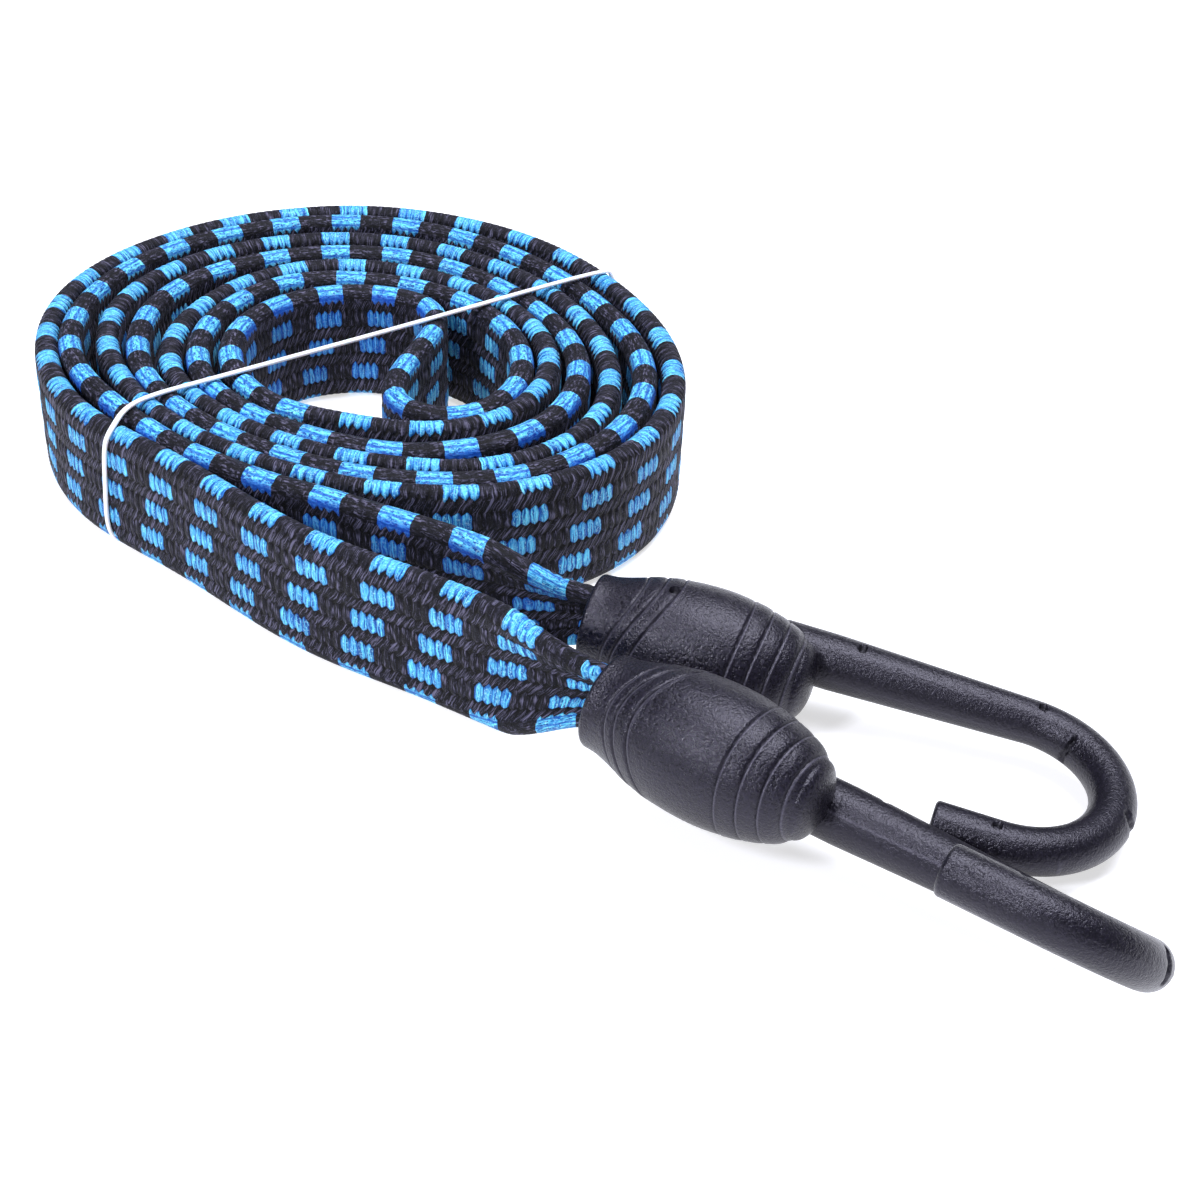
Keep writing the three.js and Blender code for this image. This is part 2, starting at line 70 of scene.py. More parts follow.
# ------------------------------------------------------------------ route of the strap
# plan points 2.5 mm apart, mm, from inside the front head's mouth round the coil to inside the rear head's mouth
ROUTE = np.array([
    [34.96, -39.92], [32.47, -40.22], [29.96, -40.38], [27.45, -40.45], [24.93, -40.43], [22.42, -40.35], [19.9, -40.24], [17.38, -40.1],
    [14.86, -39.98], [12.34, -39.88], [9.82, -39.83], [7.29, -39.86], [4.78, -39.99], [2.27, -40.2], [-0.23, -40.49], [-2.73, -40.82],
    [-5.21, -41.18], [-7.7, -41.55], [-10.19, -41.89], [-12.68, -42.19], [-15.18, -42.42], [-17.68, -42.57], [-20.19, -42.63], [-22.7, -42.6],
    [-25.2, -42.51], [-27.7, -42.35], [-30.2, -42.15], [-32.7, -41.93], [-35.2, -41.68], [-37.69, -41.44], [-40.19, -41.21], [-42.69, -41],
    [-45.19, -40.84], [-47.69, -40.71], [-50.2, -40.63], [-52.71, -40.57], [-55.21, -40.5], [-57.72, -40.41], [-60.22, -40.26], [-62.72, -40.03],
    [-65.2, -39.68], [-67.66, -39.2], [-70.09, -38.58], [-72.48, -37.82], [-74.82, -36.91], [-77.1, -35.88], [-79.32, -34.72], [-81.48, -33.45],
    [-83.57, -32.08], [-85.59, -30.62], [-87.55, -29.05], [-89.44, -27.34], [-91.28, -25.54], [-92.99, -23.66], [-94.57, -21.68], [-96.03, -19.63],
    [-97.37, -17.5], [-98.58, -15.3], [-99.64, -13.03], [-100.56, -10.7], [-101.34, -8.32], [-101.96, -5.9], [-102.45, -3.44], [-102.8, -0.94],
    [-103.01, 1.59], [-103.04, 4.18], [-102.95, 6.77], [-102.75, 9.35], [-102.42, 11.92], [-101.97, 14.47], [-101.4, 16.95], [-100.72, 19.36],
    [-99.93, 21.73], [-99.02, 24.05], [-97.99, 26.32], [-96.84, 28.54], [-95.56, 30.7], [-94.18, 32.79], [-92.71, 34.82], [-91.14, 36.78],
    [-89.46, 38.63], [-87.66, 40.38], [-85.76, 42.01], [-83.75, 43.52], [-81.66, 44.9], [-79.49, 46.15], [-77.25, 47.28], [-74.96, 48.29],
    [-72.61, 49.18], [-70.22, 49.94], [-67.8, 50.59], [-65.35, 51.11], [-62.87, 51.51], [-60.38, 51.78], [-57.88, 51.92], [-55.37, 51.93],
    [-52.87, 51.82], [-50.37, 51.58], [-47.89, 51.22], [-45.43, 50.74], [-42.99, 50.17], [-40.57, 49.5], [-38.18, 48.74], [-35.82, 47.91],
    [-33.48, 47], [-31.18, 46.01], [-28.9, 44.95], [-26.66, 43.82], [-24.47, 42.61], [-22.32, 41.32], [-20.22, 39.95], [-18.17, 38.5],
    [-16.19, 36.96], [-14.28, 35.34], [-12.45, 33.63], [-10.7, 31.84], [-9.04, 29.96], [-7.47, 28], [-6.02, 25.96], [-4.67, 23.84],
    [-3.44, 21.66], [-2.35, 19.4], [-1.38, 17.09], [-0.57, 14.71], [0.08, 12.29], [0.56, 9.84], [0.86, 7.35], [0.97, 4.84],
    [0.9, 2.34], [0.64, -0.15], [0.2, -2.62], [-0.41, -5.05], [-1.2, -7.43], [-2.15, -9.76], [-3.26, -12.01], [-4.51, -14.18],
    [-5.9, -16.26], [-7.45, -18.22], [-9.16, -20.03], [-11.03, -21.7], [-13.05, -23.27], [-15.17, -24.76], [-17.36, -26.13], [-19.61, -27.39],
    [-21.93, -28.52], [-24.31, -29.52], [-26.76, -30.35], [-29.24, -31.03], [-31.76, -31.66], [-34.31, -32.21], [-36.87, -32.65], [-39.42, -32.94],
    [-41.99, -33.17], [-44.5, -33.38], [-46.9, -33.49], [-49.25, -33.46], [-51.66, -33.29], [-54.14, -33.01], [-56.66, -32.68], [-59.18, -32.27],
    [-61.69, -31.74], [-64.17, -31.1], [-66.6, -30.24], [-68.97, -29.26], [-71.3, -28.24], [-73.57, -27.16], [-75.78, -25.98], [-77.91, -24.66],
    [-79.96, -23.22], [-81.91, -21.64], [-83.74, -19.94], [-85.46, -18.11], [-87.04, -16.16], [-88.46, -14.1], [-89.72, -11.93], [-90.79, -9.66],
    [-91.66, -7.32], [-92.34, -4.9], [-92.82, -2.44], [-93.11, 0.05], [-93.22, 2.55], [-93.17, 5.06], [-92.94, 7.56], [-92.55, 10.03],
    [-92, 12.48], [-91.28, 14.88], [-90.4, 17.23], [-89.37, 19.51], [-88.18, 21.72], [-86.84, 23.84], [-85.37, 25.87], [-83.76, 27.79],
    [-82.02, 29.6], [-80.17, 31.29], [-78.2, 32.84], [-76.13, 34.25], [-73.97, 35.52], [-71.72, 36.62], [-69.4, 37.58], [-67.02, 38.38],
    [-64.6, 39.03], [-62.15, 39.53], [-59.67, 39.9], [-57.17, 40.13], [-54.66, 40.23], [-52.16, 40.2], [-49.66, 40.04], [-47.16, 39.75],
    [-44.69, 39.33], [-42.25, 38.79], [-39.83, 38.12], [-37.45, 37.33], [-35.11, 36.42], [-32.82, 35.4], [-30.59, 34.27], [-28.41, 33.03],
    [-26.29, 31.68], [-24.24, 30.24], [-22.27, 28.69], [-20.37, 27.06], [-18.55, 25.33], [-16.82, 23.51], [-15.2, 21.6], [-13.68, 19.6],
    [-12.3, 17.51], [-11.06, 15.33], [-9.99, 13.07], [-9.09, 10.73], [-8.38, 8.32], [-7.88, 5.87], [-7.59, 3.38], [-7.54, 0.88],
    [-7.77, -1.61], [-8.26, -4.06], [-8.98, -6.47], [-9.93, -8.79], [-11.09, -10.96], [-12.44, -12.93], [-13.97, -14.71], [-15.67, -16.32],
    [-17.58, -17.8], [-19.65, -19.18], [-21.84, -20.47], [-24.09, -21.68], [-26.38, -22.82], [-28.71, -23.77], [-31.02, -24.55], [-33.34, -25.17],
    [-35.67, -25.69], [-38.04, -26.13], [-40.48, -26.5], [-42.97, -26.74], [-45.47, -26.86], [-47.97, -26.85], [-50.46, -26.7], [-52.92, -26.41],
    [-55.31, -26.04], [-57.68, -25.56], [-60.03, -24.93], [-62.39, -24.11], [-64.7, -23.11], [-66.88, -21.87], [-68.91, -20.4], [-70.8, -18.75],
    [-72.54, -16.95], [-74.13, -15.01], [-75.54, -12.94], [-76.77, -10.76], [-77.82, -8.48], [-78.68, -6.12], [-79.38, -3.71], [-79.92, -1.25],
    [-80.32, 1.24], [-80.53, 3.74], [-80.53, 6.25], [-80.29, 8.75], [-79.85, 11.22], [-79.2, 13.65], [-78.3, 15.99], [-77.12, 18.19],
    [-75.67, 20.22], [-73.97, 22.06], [-72.08, 23.7], [-70.03, 25.16], [-67.87, 26.42], [-65.61, 27.51], [-63.28, 28.44], [-60.89, 29.2],
    [-58.45, 29.8], [-55.98, 30.23], [-53.49, 30.49], [-50.98, 30.58], [-48.48, 30.5], [-45.99, 30.24], [-43.52, 29.81], [-41.08, 29.2],
    [-38.7, 28.43], [-36.38, 27.48], [-34.13, 26.36], [-31.98, 25.07], [-29.94, 23.62], [-28.02, 22], [-26.25, 20.23], [-24.64, 18.31],
    [-23.23, 16.24], [-22.03, 14.05], [-21.05, 11.74], [-20.3, 9.34], [-19.74, 6.89], [-19.4, 4.39], [-19.39, 1.88], [-19.78, -0.65],
    [-20.62, -3.14], [-21.72, -5.46], [-23.09, -7.57], [-24.69, -9.48], [-26.53, -11.15], [-28.58, -12.57], [-30.78, -13.78], [-33.05, -14.84],
    [-35.37, -15.82], [-37.71, -16.75], [-40.07, -17.6], [-42.48, -18.3], [-44.93, -18.77], [-47.42, -18.96], [-49.92, -18.85], [-52.39, -18.44],
    [-54.81, -17.78], [-57.15, -16.87], [-59.38, -15.74], [-61.5, -14.39], [-63.48, -12.85], [-65.29, -11.12], [-66.91, -9.21], [-68.3, -7.12],
    [-69.42, -4.88], [-70.26, -2.52], [-70.78, -0.07], [-70.98, 2.42], [-70.86, 4.93], [-70.42, 7.4], [-69.67, 9.79], [-68.61, 12.05],
    [-67.25, 14.15], [-65.61, 16.05], [-63.74, 17.71], [-61.65, 19.12], [-59.38, 20.24], [-56.98, 20.99], [-54.5, 21.27], [-52.09, 20.92],
    [-49.9, 19.89], [-48.06, 18.25], [-46.59, 16.23], [-45.41, 14], [-44.41, 11.68], [-43.53, 9.32], [-42.7, 6.95], [-41.85, 4.58],
    [-40.95, 2.23], [-39.92, -0.08], [-38.68, -2.29], [-37.13, -4.26], [-35.21, -5.79], [-32.94, -6.64], [-30.49, -6.71], [-28.1, -6.03],
    [-26.01, -4.73], [-24.44, -2.91], [-23.48, -0.75], [-23.09, 1.62], [-23.11, 4.09], [-23.47, 6.56], [-24.17, 8.96], [-25.17, 11.25],
    [-26.42, 13.43], [-27.88, 15.47], [-29.52, 17.37], [-31.32, 19.11], [-33.27, 20.7], [-35.34, 22.1], [-37.52, 23.33], [-39.8, 24.38],
    [-42.16, 25.22], [-44.59, 25.86], [-47.06, 26.28], [-49.55, 26.47], [-52.06, 26.44], [-54.55, 26.18], [-57.01, 25.7], [-59.43, 25.03],
    [-61.78, 24.16], [-64.06, 23.11], [-66.25, 21.9], [-68.35, 20.51], [-70.33, 18.96], [-72.14, 17.23], [-73.75, 15.31], [-75.05, 13.19],
    [-76, 10.89], [-76.56, 8.47], [-76.8, 5.98], [-76.8, 3.47], [-76.59, 0.97], [-76.18, -1.49], [-75.51, -3.89], [-74.61, -6.22],
    [-73.49, -8.46], [-72.17, -10.6], [-70.68, -12.61], [-69.03, -14.5], [-67.22, -16.24], [-65.29, -17.84], [-63.23, -19.27], [-61.04, -20.48],
    [-58.72, -21.43], [-56.29, -22.12], [-53.83, -22.66], [-51.42, -23.09], [-49.05, -23.33], [-46.69, -23.42], [-44.33, -23.38], [-41.97, -23.2],
    [-39.62, -22.89], [-37.28, -22.42], [-34.85, -21.84], [-32.4, -21.14], [-30.01, -20.31], [-27.71, -19.35], [-25.52, -18.22], [-23.49, -16.82],
    [-21.61, -15.17], [-19.9, -13.35], [-18.34, -11.37], [-16.97, -9.27], [-15.81, -7.05], [-14.88, -4.72], [-14.21, -2.31], [-13.83, 0.16],
    [-13.73, 2.66], [-13.89, 5.16], [-14.3, 7.64], [-14.93, 10.06], [-15.76, 12.43], [-16.79, 14.72], [-17.99, 16.92], [-19.36, 19.02],
    [-20.89, 21], [-22.58, 22.85], [-24.4, 24.57], [-26.35, 26.15], [-28.4, 27.59], [-30.54, 28.9], [-32.76, 30.07], [-35.04, 31.11],
    [-37.38, 32.02], [-39.76, 32.81], [-42.17, 33.49], [-44.61, 34.05], [-47.08, 34.5], [-49.56, 34.84], [-52.06, 35.06], [-54.57, 35.16],
    [-57.08, 35.11], [-59.58, 34.91], [-62.05, 34.54], [-64.5, 33.98], [-66.89, 33.23], [-69.2, 32.27], [-71.42, 31.11], [-73.53, 29.75],
    [-75.51, 28.22], [-77.37, 26.54], [-79.1, 24.72], [-80.69, 22.78], [-82.14, 20.74], [-83.45, 18.6], [-84.6, 16.37], [-85.6, 14.07],
    [-86.43, 11.71], [-87.08, 9.29], [-87.55, 6.82], [-87.81, 4.33], [-87.85, 1.82], [-87.67, -0.68], [-87.24, -3.14], [-86.58, -5.56],
    [-85.69, -7.9], [-84.6, -10.16], [-83.33, -12.32], [-81.9, -14.38], [-80.33, -16.33], [-78.63, -18.18], [-76.81, -19.91], [-74.89, -21.52],
    [-72.87, -23.02], [-70.77, -24.36], [-68.59, -25.53], [-66.36, -26.52], [-64.13, -27.4], [-61.86, -28.12], [-59.49, -28.71], [-57.05, -29.21],
    [-54.55, -29.61], [-52.02, -29.92], [-49.41, -30.11], [-46.73, -30.17], [-44.09, -30.1], [-41.5, -29.9], [-38.97, -29.62], [-36.49, -29.26],
    [-34.04, -28.79], [-31.58, -28.21], [-29.14, -27.53], [-26.81, -26.79], [-24.58, -25.94], [-22.41, -24.93], [-20.27, -23.8], [-18.17, -22.55],
    [-16.14, -21.19], [-14.18, -19.7], [-12.31, -18.02], [-10.54, -16.11], [-8.93, -14.06], [-7.51, -11.92], [-6.32, -9.7], [-5.37, -7.39],
    [-4.65, -5], [-4.14, -2.54], [-3.81, -0.05], [-3.63, 2.46], [-3.63, 4.96], [-3.83, 7.46], [-4.21, 9.94], [-4.78, 12.38],
    [-5.51, 14.78], [-6.41, 17.12], [-7.46, 19.39], [-8.65, 21.6], [-9.98, 23.73], [-11.45, 25.76], [-13.04, 27.69], [-14.76, 29.52],
    [-16.59, 31.23], [-18.52, 32.83], [-20.53, 34.32], [-22.62, 35.71], [-24.77, 36.99], [-26.98, 38.19], [-29.23, 39.3], [-31.51, 40.34],
    [-33.82, 41.3], [-36.17, 42.19], [-38.54, 43.01], [-40.93, 43.75], [-43.35, 44.4], [-45.8, 44.96], [-48.26, 45.43], [-50.74, 45.8],
    [-53.23, 46.06], [-55.74, 46.22], [-58.24, 46.27], [-60.75, 46.21], [-63.25, 46.02], [-65.74, 45.72], [-68.21, 45.28], [-70.65, 44.7],
    [-73.05, 43.98], [-75.39, 43.1], [-77.67, 42.05], [-79.87, 40.85], [-81.98, 39.5], [-84, 38], [-85.91, 36.38], [-87.71, 34.64],
    [-89.4, 32.79], [-90.95, 30.82], [-92.36, 28.76], [-93.64, 26.6], [-94.81, 24.37], [-95.85, 22.08], [-96.78, 19.74], [-97.58, 17.36],
    [-98.25, 14.98], [-98.76, 12.6], [-99.14, 10.19], [-99.39, 7.76], [-99.53, 5.31], [-99.55, 2.87], [-99.37, 0.45], [-99.04, -2],
    [-98.55, -4.45], [-97.92, -6.88], [-97.14, -9.27], [-96.22, -11.6], [-95.15, -13.87], [-93.95, -16.06], [-92.61, -18.18], [-91.16, -20.19],
    [-89.6, -22.11], [-87.93, -23.91], [-86.13, -25.59], [-84.19, -27.14], [-82.12, -28.55], [-79.94, -29.79], [-77.68, -30.88], [-75.36, -31.83],
    [-72.99, -32.66], [-70.59, -33.38], [-68.16, -34], [-65.73, -34.57], [-63.32, -35.11], [-60.89, -35.59], [-58.4, -35.97], [-55.86, -36.3],
    [-53.31, -36.61], [-50.75, -36.84], [-48.19, -36.95], [-45.62, -36.91], [-43.05, -36.73], [-40.49, -36.51], [-37.92, -36.3], [-35.42, -36.03],
    [-32.98, -35.66], [-30.57, -35.17], [-28.18, -34.59], [-25.78, -33.97], [-23.35, -33.42], [-20.89, -32.94], [-18.43, -32.47], [-15.96, -31.99],
    [-13.51, -31.49], [-11.05, -30.98], [-8.6, -30.46], [-6.15, -29.93], [-3.7, -29.38], [-1.26, -28.81], [1.18, -28.23], [3.61, -27.61],
    [6.04, -26.97], [8.45, -26.3], [10.86, -25.59], [13.25, -24.85], [15.63, -24.07], [18, -23.24], [20.35, -22.37],
])
# length along the route at which each coloured block of the upper edge is centred, mm
BLOCKS = np.array([
    5.8, 17.9, 29.0, 40.0, 50.7, 61.2, 71.8, 81.9, 91.4, 101.1, 110.3, 119.6, 128.8, 138.5, 149.1, 159.7,
    171.7, 183.3, 194.1, 204.6, 215.5, 226.7, 237.8, 248.5, 259.8, 270.7, 282.3, 294.0, 305.1, 316.4, 326.9, 337.4,
    347.9, 358.6, 369.9, 380.9, 391.7, 402.5, 412.7, 422.4, 432.6, 442.1, 452.3, 463.0, 473.5, 483.7, 494.7, 505.6,
    516.0, 527.6, 538.3, 550.0, 561.5, 572.8, 583.7, 594.2, 604.3, 614.9, 625.0, 635.8, 646.1, 656.1, 666.3, 676.9,
    687.3, 698.0, 708.0, 718.4, 728.9, 739.2, 748.6, 759.8, 770.5, 781.0, 791.9, 802.6, 812.9, 821.6, 832.1, 844.1,
    852.8, 862.7, 872.8, 881.6, 891.9, 903.6, 914.8, 926.1, 936.4, 946.9, 957.7, 969.1, 980.0, 991.1, 1001.7, 1013.2,
    1023.4, 1034.4, 1044.7, 1055.1, 1066.1, 1076.6, 1087.6, 1098.7, 1109.0, 1119.0, 1130.1, 1141.2, 1152.0, 1163.6, 1175.0, 1186.1,
    1196.7, 1206.7, 1216.9, 1228.5, 1239.4, 1249.7, 1260.1, 1271.1, 1282.0, 1293.0, 1304.1, 1314.9, 1325.9, 1336.7, 1347.5, 1358.8,
    1369.5, 1381.3, 1392.0, 1403.2, 1415.5, 1426.4, 1437.6, 1448.5, 1459.4, 1470.2, 1481.0, 1490.8, 1500.3, 1510.1, 1521.0, 1531.1,
    1541.3, 1551.9, 1562.8, 1573.5, 1584.5, 1595.9, 1607.6,
])


def natural_spline(t, y):
    """Second derivatives of the natural cubic spline through y at t."""
    n = len(t)
    h = np.diff(t)
    A = np.zeros((n, n))
    A[0, 0] = A[-1, -1] = 1
    rhs = np.zeros((n,) + y.shape[1:])
    for i in range(1, n - 1):
        A[i, i - 1], A[i, i], A[i, i + 1] = h[i - 1], 2 * (h[i - 1] + h[i]), h[i]
        rhs[i] = 6 * ((y[i + 1] - y[i]) / h[i] - (y[i] - y[i - 1]) / h[i - 1])
    return np.linalg.solve(A, rhs)


def spline_at(t, y, m, q, d=0):
    i = np.clip(np.searchsorted(t, q) - 1, 0, len(t) - 2)
    h = (t[i + 1] - t[i])
    a, b = (t[i + 1] - q) / h, (q - t[i]) / h
    if y.ndim > 1:
        h, a, b = h[:, None], a[:, None], b[:, None]
    if d == 0:
        return a * y[i] + b * y[i + 1] + ((a ** 3 - a) * m[i] + (b ** 3 - b) * m[i + 1]) * h * h / 6
    return (y[i + 1] - y[i]) / h + (-(3 * a * a - 1) * m[i] + (3 * b * b - 1) * m[i + 1]) * h / 6


def smooth(t):
    t = np.clip(t, 0, 1)
    return t * t * (3 - 2 * t)


route_s = np.r_[0, np.cumsum(np.linalg.norm(np.diff(ROUTE, axis=0), axis=1))]
route_m = natural_spline(route_s, ROUTE)
ROUTE_L = float(route_s[-1])

# block positions with the reading error of single blocks smoothed away, as phase against length
k = np.array([1, 2, 3, 2, 1]) / 9.0
pad = np.r_[2 * BLOCKS[0] - BLOCKS[2:0:-1], BLOCKS, 2 * BLOCKS[-1] - BLOCKS[-2:-4:-1]]
blocks_s = np.convolve(pad, k, "valid")
blocks_n = np.arange(len(blocks_s), dtype=float)
blocks_s = np.r_[blocks_s[0] - 10.7 * np.array([3, 2, 1]), blocks_s, blocks_s[-1] + 10.7 * np.array([1, 2, 3])]
blocks_n = np.r_[[-3, -2, -1], blocks_n, blocks_n[-1] + np.array([1, 2, 3])]
blocks_m = natural_spline(blocks_n, blocks_s)

# ------------------------------------------------------------------ the strap's section
STRAP_W, STRAP_HALF_T = 20.0, 1.72
RELIEF = 0.26                                     # how far the stitches stand out
HEAD_L = 29.5
ENDS = {
    "rear": dict(nose=np.array([43.55, -14.80, 8.44]), az=18.21, el=-4.90, roll=-0.98),
    "front": dict(nose=np.array([59.37, -38.44, 12.22]), az=3.58, el=-3.06, roll=42.2),
}
for e in ENDS.values():
    az, el, ro = (math.radians(e[key]) for key in ("az", "el", "roll"))
    x = np.array([math.cos(el) * math.cos(az), math.cos(el) * math.sin(az), math.sin(el)])
    side = np.array([-math.sin(az), math.cos(az), 0])
    up = np.cross(x, side)
    e["x"], e["y"], e["z"] = x, side * math.cos(ro) - up * math.sin(ro), up * math.cos(ro) + side * math.sin(ro)


def free_thickness():
    """Half thickness along the route: thinner where two layers lie pressed together."""
    p, s = ROUTE, route_s
    d = np.linalg.norm(p[:, None] - p[None], axis=2)
    d[np.abs(s[:, None] - s[None]) < 24] = 99
    i = np.argmin(d, axis=1)
    # distance to the neighbour's two segments rather than to its point
    best = d.min(axis=1)
    for shift in (-1, 0):
        a, b = p[np.clip(i + shift, 0, len(p) - 1)], p[np.clip(i + shift + 1, 0, len(p) - 1)]
        ab = b - a
        t = np.clip(((p - a) * ab).sum(1) / np.maximum((ab * ab).sum(1), 1e-9), 0, 1)
        best = np.minimum(best, np.linalg.norm(p - (a + ab * t[:, None]), axis=1))
    half = np.minimum(STRAP_HALF_T, best / 2 - RELIEF * 0.55)
    pad = np.pad(half, 4, mode="edge")
    half = np.array([pad[j:j + 9].min() for j in range(len(half))])
    return np.convolve(np.pad(half, 4, mode="edge"), np.ones(9) / 9, "valid")


half_t = free_thickness()

PER_STITCH, ROUND = 5, 80
phase_lo = np.interp(0.7, blocks_s, blocks_n)
phase_hi = np.interp(ROUTE_L - 0.7, blocks_s, blocks_n)
PH = np.arange(phase_lo, phase_hi, 1 / (8.0 * PER_STITCH))
S = spline_at(blocks_n, blocks_s, blocks_m, PH)
P = spline_at(route_s, ROUTE, route_m, S)
T = spline_at(route_s, ROUTE, route_m, S, 1)
T /= np.linalg.norm(T, axis=1)[:, None]
LEFT = np.stack([-T[:, 1], T[:, 0]], 1)
A_T = np.interp(S, route_s, half_t)


def stitches(u, v, first):
    """Height of the stitches, 0 to 1, at phase u and turn v round the section. The same sum is in the strap's material."""
    u8, p = u * 8, v * 8 + 0.03
    q = np.mod(p, 4) - 2                          # from the middle of a face; its three rows lie a little closer than the edges
    rv = p - q + np.sign(q) * np.minimum(np.abs(q) / 0.92, 1.359 + (np.abs(q) - 1.25) * 0.855)
    row = np.floor(rv + 0.5)
    dr = rv - row
    de = np.mod(rv + 2, 4) - 2                    # from the nearest edge of the strap
    gap = np.floor(rv) + 0.5
    dl = rv - gap
    ce = np.abs(de)
    upper = np.where(np.mod(rv + 2, 8) < 4, 1.0, 0.0)
    leafy = upper * first + (1 - upper) * (1 - first)   # one edge is worked in lobes, the other in lengthways cords
    x, xe, y = u8 - row - 0.3 * (np.mod(row, 4) - 2) + 0.12 * dr, u8 - (rv - de) + 0.12 * de, u8 - gap - 2.3 * dl
    lens = lambda p, q, f=0.86: np.sqrt(np.clip(1 - (np.abs(2 * (p - np.floor(p) - 0.5)) * f + q) ** 2, 0, 1))
    up = -dr * np.where(np.mod(rv, 8) < 4, 1, -1) # each leaf has a point upwards and a blunt foot
    R = lens(x, np.where(up > 0, np.abs(dr / 0.36) ** 3.0, np.abs(dr / 0.30) ** 5), 0.88) * (np.mod(row, 4) > 0.5)
    cord = de * 4.6
    ridge = np.sqrt(np.clip(1 - 0.75 * (2 * (cord - np.floor(cord + 0.5))) ** 2, 0, 1))
    k = smooth((ce - 0.34) / 0.08)
    Ec = (1 - k) * (0.62 + 0.38 * ridge) * (0.86 + 0.14 * lens(xe, 0)) + k * lens(xe, (ce / 0.50) ** 6)
    k2 = smooth((ce - 0.08) / 0.12)
    El = (1 - k2) * (0.74 + 0.26 * lens(xe, 0)) + k2 * lens(xe, (ce / 0.38) ** 4)
    E = leafy * El * (ce < 0.38) + (1 - leafy) * Ec * (ce < 0.50)
    L = 0.70 * lens(y, np.abs(dl / 0.28) ** 2)
    return np.maximum(np.maximum(R, E), L)


def strap_grid():
    """Every vertex of the whole strap, rings along the phase, ROUND points round the section."""
    n, m = len(S), ROUND
    v = np.arange(m) / m
    dF, dR = S, ROUTE_L - S                        # distance from each mouth
    front_side = np.where(S < ROUTE_L / 2, 1.0, -1.0)  # which face cups inwards: A at the front end, B at the rear
    d = np.minimum(dF, dR)
    c = smooth((31.4 - d) / 31)
    w = STRAP_W * (1 - 0.45 * smooth((20 - d) / 15.5))   # full width until close to the mouth
    a = A_T * (1 - 0.36 * c)
    mouth = np.where(S < ROUTE_L / 2,
                     ENDS["front"]["nose"][2] - math.sin(math.radians(ENDS["front"]["el"])) * HEAD_L * 0.92,
                     ENDS["rear"]["nose"][2] - math.sin(math.radians(ENDS["rear"]["el"])) * HEAD_L * 0.92)
    zc = STRAP_W / 2 + (mouth - STRAP_W / 2) * smooth((32 - d) / 31)
    ang = 0.0004 + 3.35 * c
    r = w / ang
    shift = c * np.minimum(r, 3.4)
    # stadium section, by arc length
    hh = w / 2 - RELIEF * 0.9
    st = 2 * (hh - a)
    q = 0.5 * math.pi * a
    per = 2 * st + 4 * q
    pos = v[None] * per[:, None]
    A, H, Q, ST = a[:, None], hh[:, None], q[:, None], st[:, None]
    lat, zz, nl, nz = (np.zeros((n, m)) for _ in range(4))

    def put(mask, l, z, l2, z2):
        for dst, val in ((lat, l), (zz, z), (nl, l2), (nz, z2)):
            dst[mask] = np.broadcast_to(val, (n, m))[mask]
    t = pos / A
    put(pos < Q, A * np.sin(t), H - A + A * np.cos(t), np.sin(t), np.cos(t))
    m2 = (pos >= Q) & (pos < Q + ST)
    put(m2, A, H - A - (pos - Q), 1.0, 0.0)
    m3 = (pos >= Q + ST) & (pos < 3 * Q + ST)
    t = (pos - Q - ST) / A
    put(m3, A * np.cos(t), -(H - A) - A * np.sin(t), np.cos(t), -np.sin(t))
    m4 = (pos >= 3 * Q + ST) & (pos < 3 * Q + 2 * ST)
    put(m4, -A, -(H - A) + (pos - 3 * Q - ST), -1.0, 0.0)
    m5 = pos >= 3 * Q + 2 * ST
    t = (pos - 3 * Q - 2 * ST) / A
    put(m5, -A * np.cos(t), H - A + A * np.sin(t), -np.cos(t), np.sin(t))
    rel = stitches(PH[:, None], v[None], (S < ROUTE_L / 2)[:, None] * 1.0) * RELIEF
    rel = rel * (1 - 0.35 * c[:, None])
    lat = lat + nl * rel
    zz = zz + nz * rel
    # cup
    f = front_side[:, None]
    nf = lat * f
    phi = zz / r[:, None]
    ql = (r - shift)[:, None] - (r[:, None] - nf) * np.cos(phi)
    z = zc[:, None] + (r[:, None] - nf) * np.sin(phi)
    out = np.zeros((n, m, 3))
    out[:, :, :2] = P[:, None] + LEFT[:, None] * (ql * f)[:, :, None]
    out[:, :, 2] = z
    return out, v


GRID, VV = strap_grid()
# normals from the whole strap, so that pieces cut from it shade as one
du = np.gradient(GRID, axis=0)
dv = (np.roll(GRID, -1, 1) - np.roll(GRID, 1, 1)) / 2
NORMAL = np.cross(du, dv)
NORMAL /= np.maximum(np.linalg.norm(NORMAL, axis=2), 1e-12)[:, :, None]
mid = GRID.mean(1)[:, None]
if (NORMAL * (GRID - mid)).sum() < 0:
    NORMAL = -NORMAL
    FLIP = True
else:
    FLIP = False


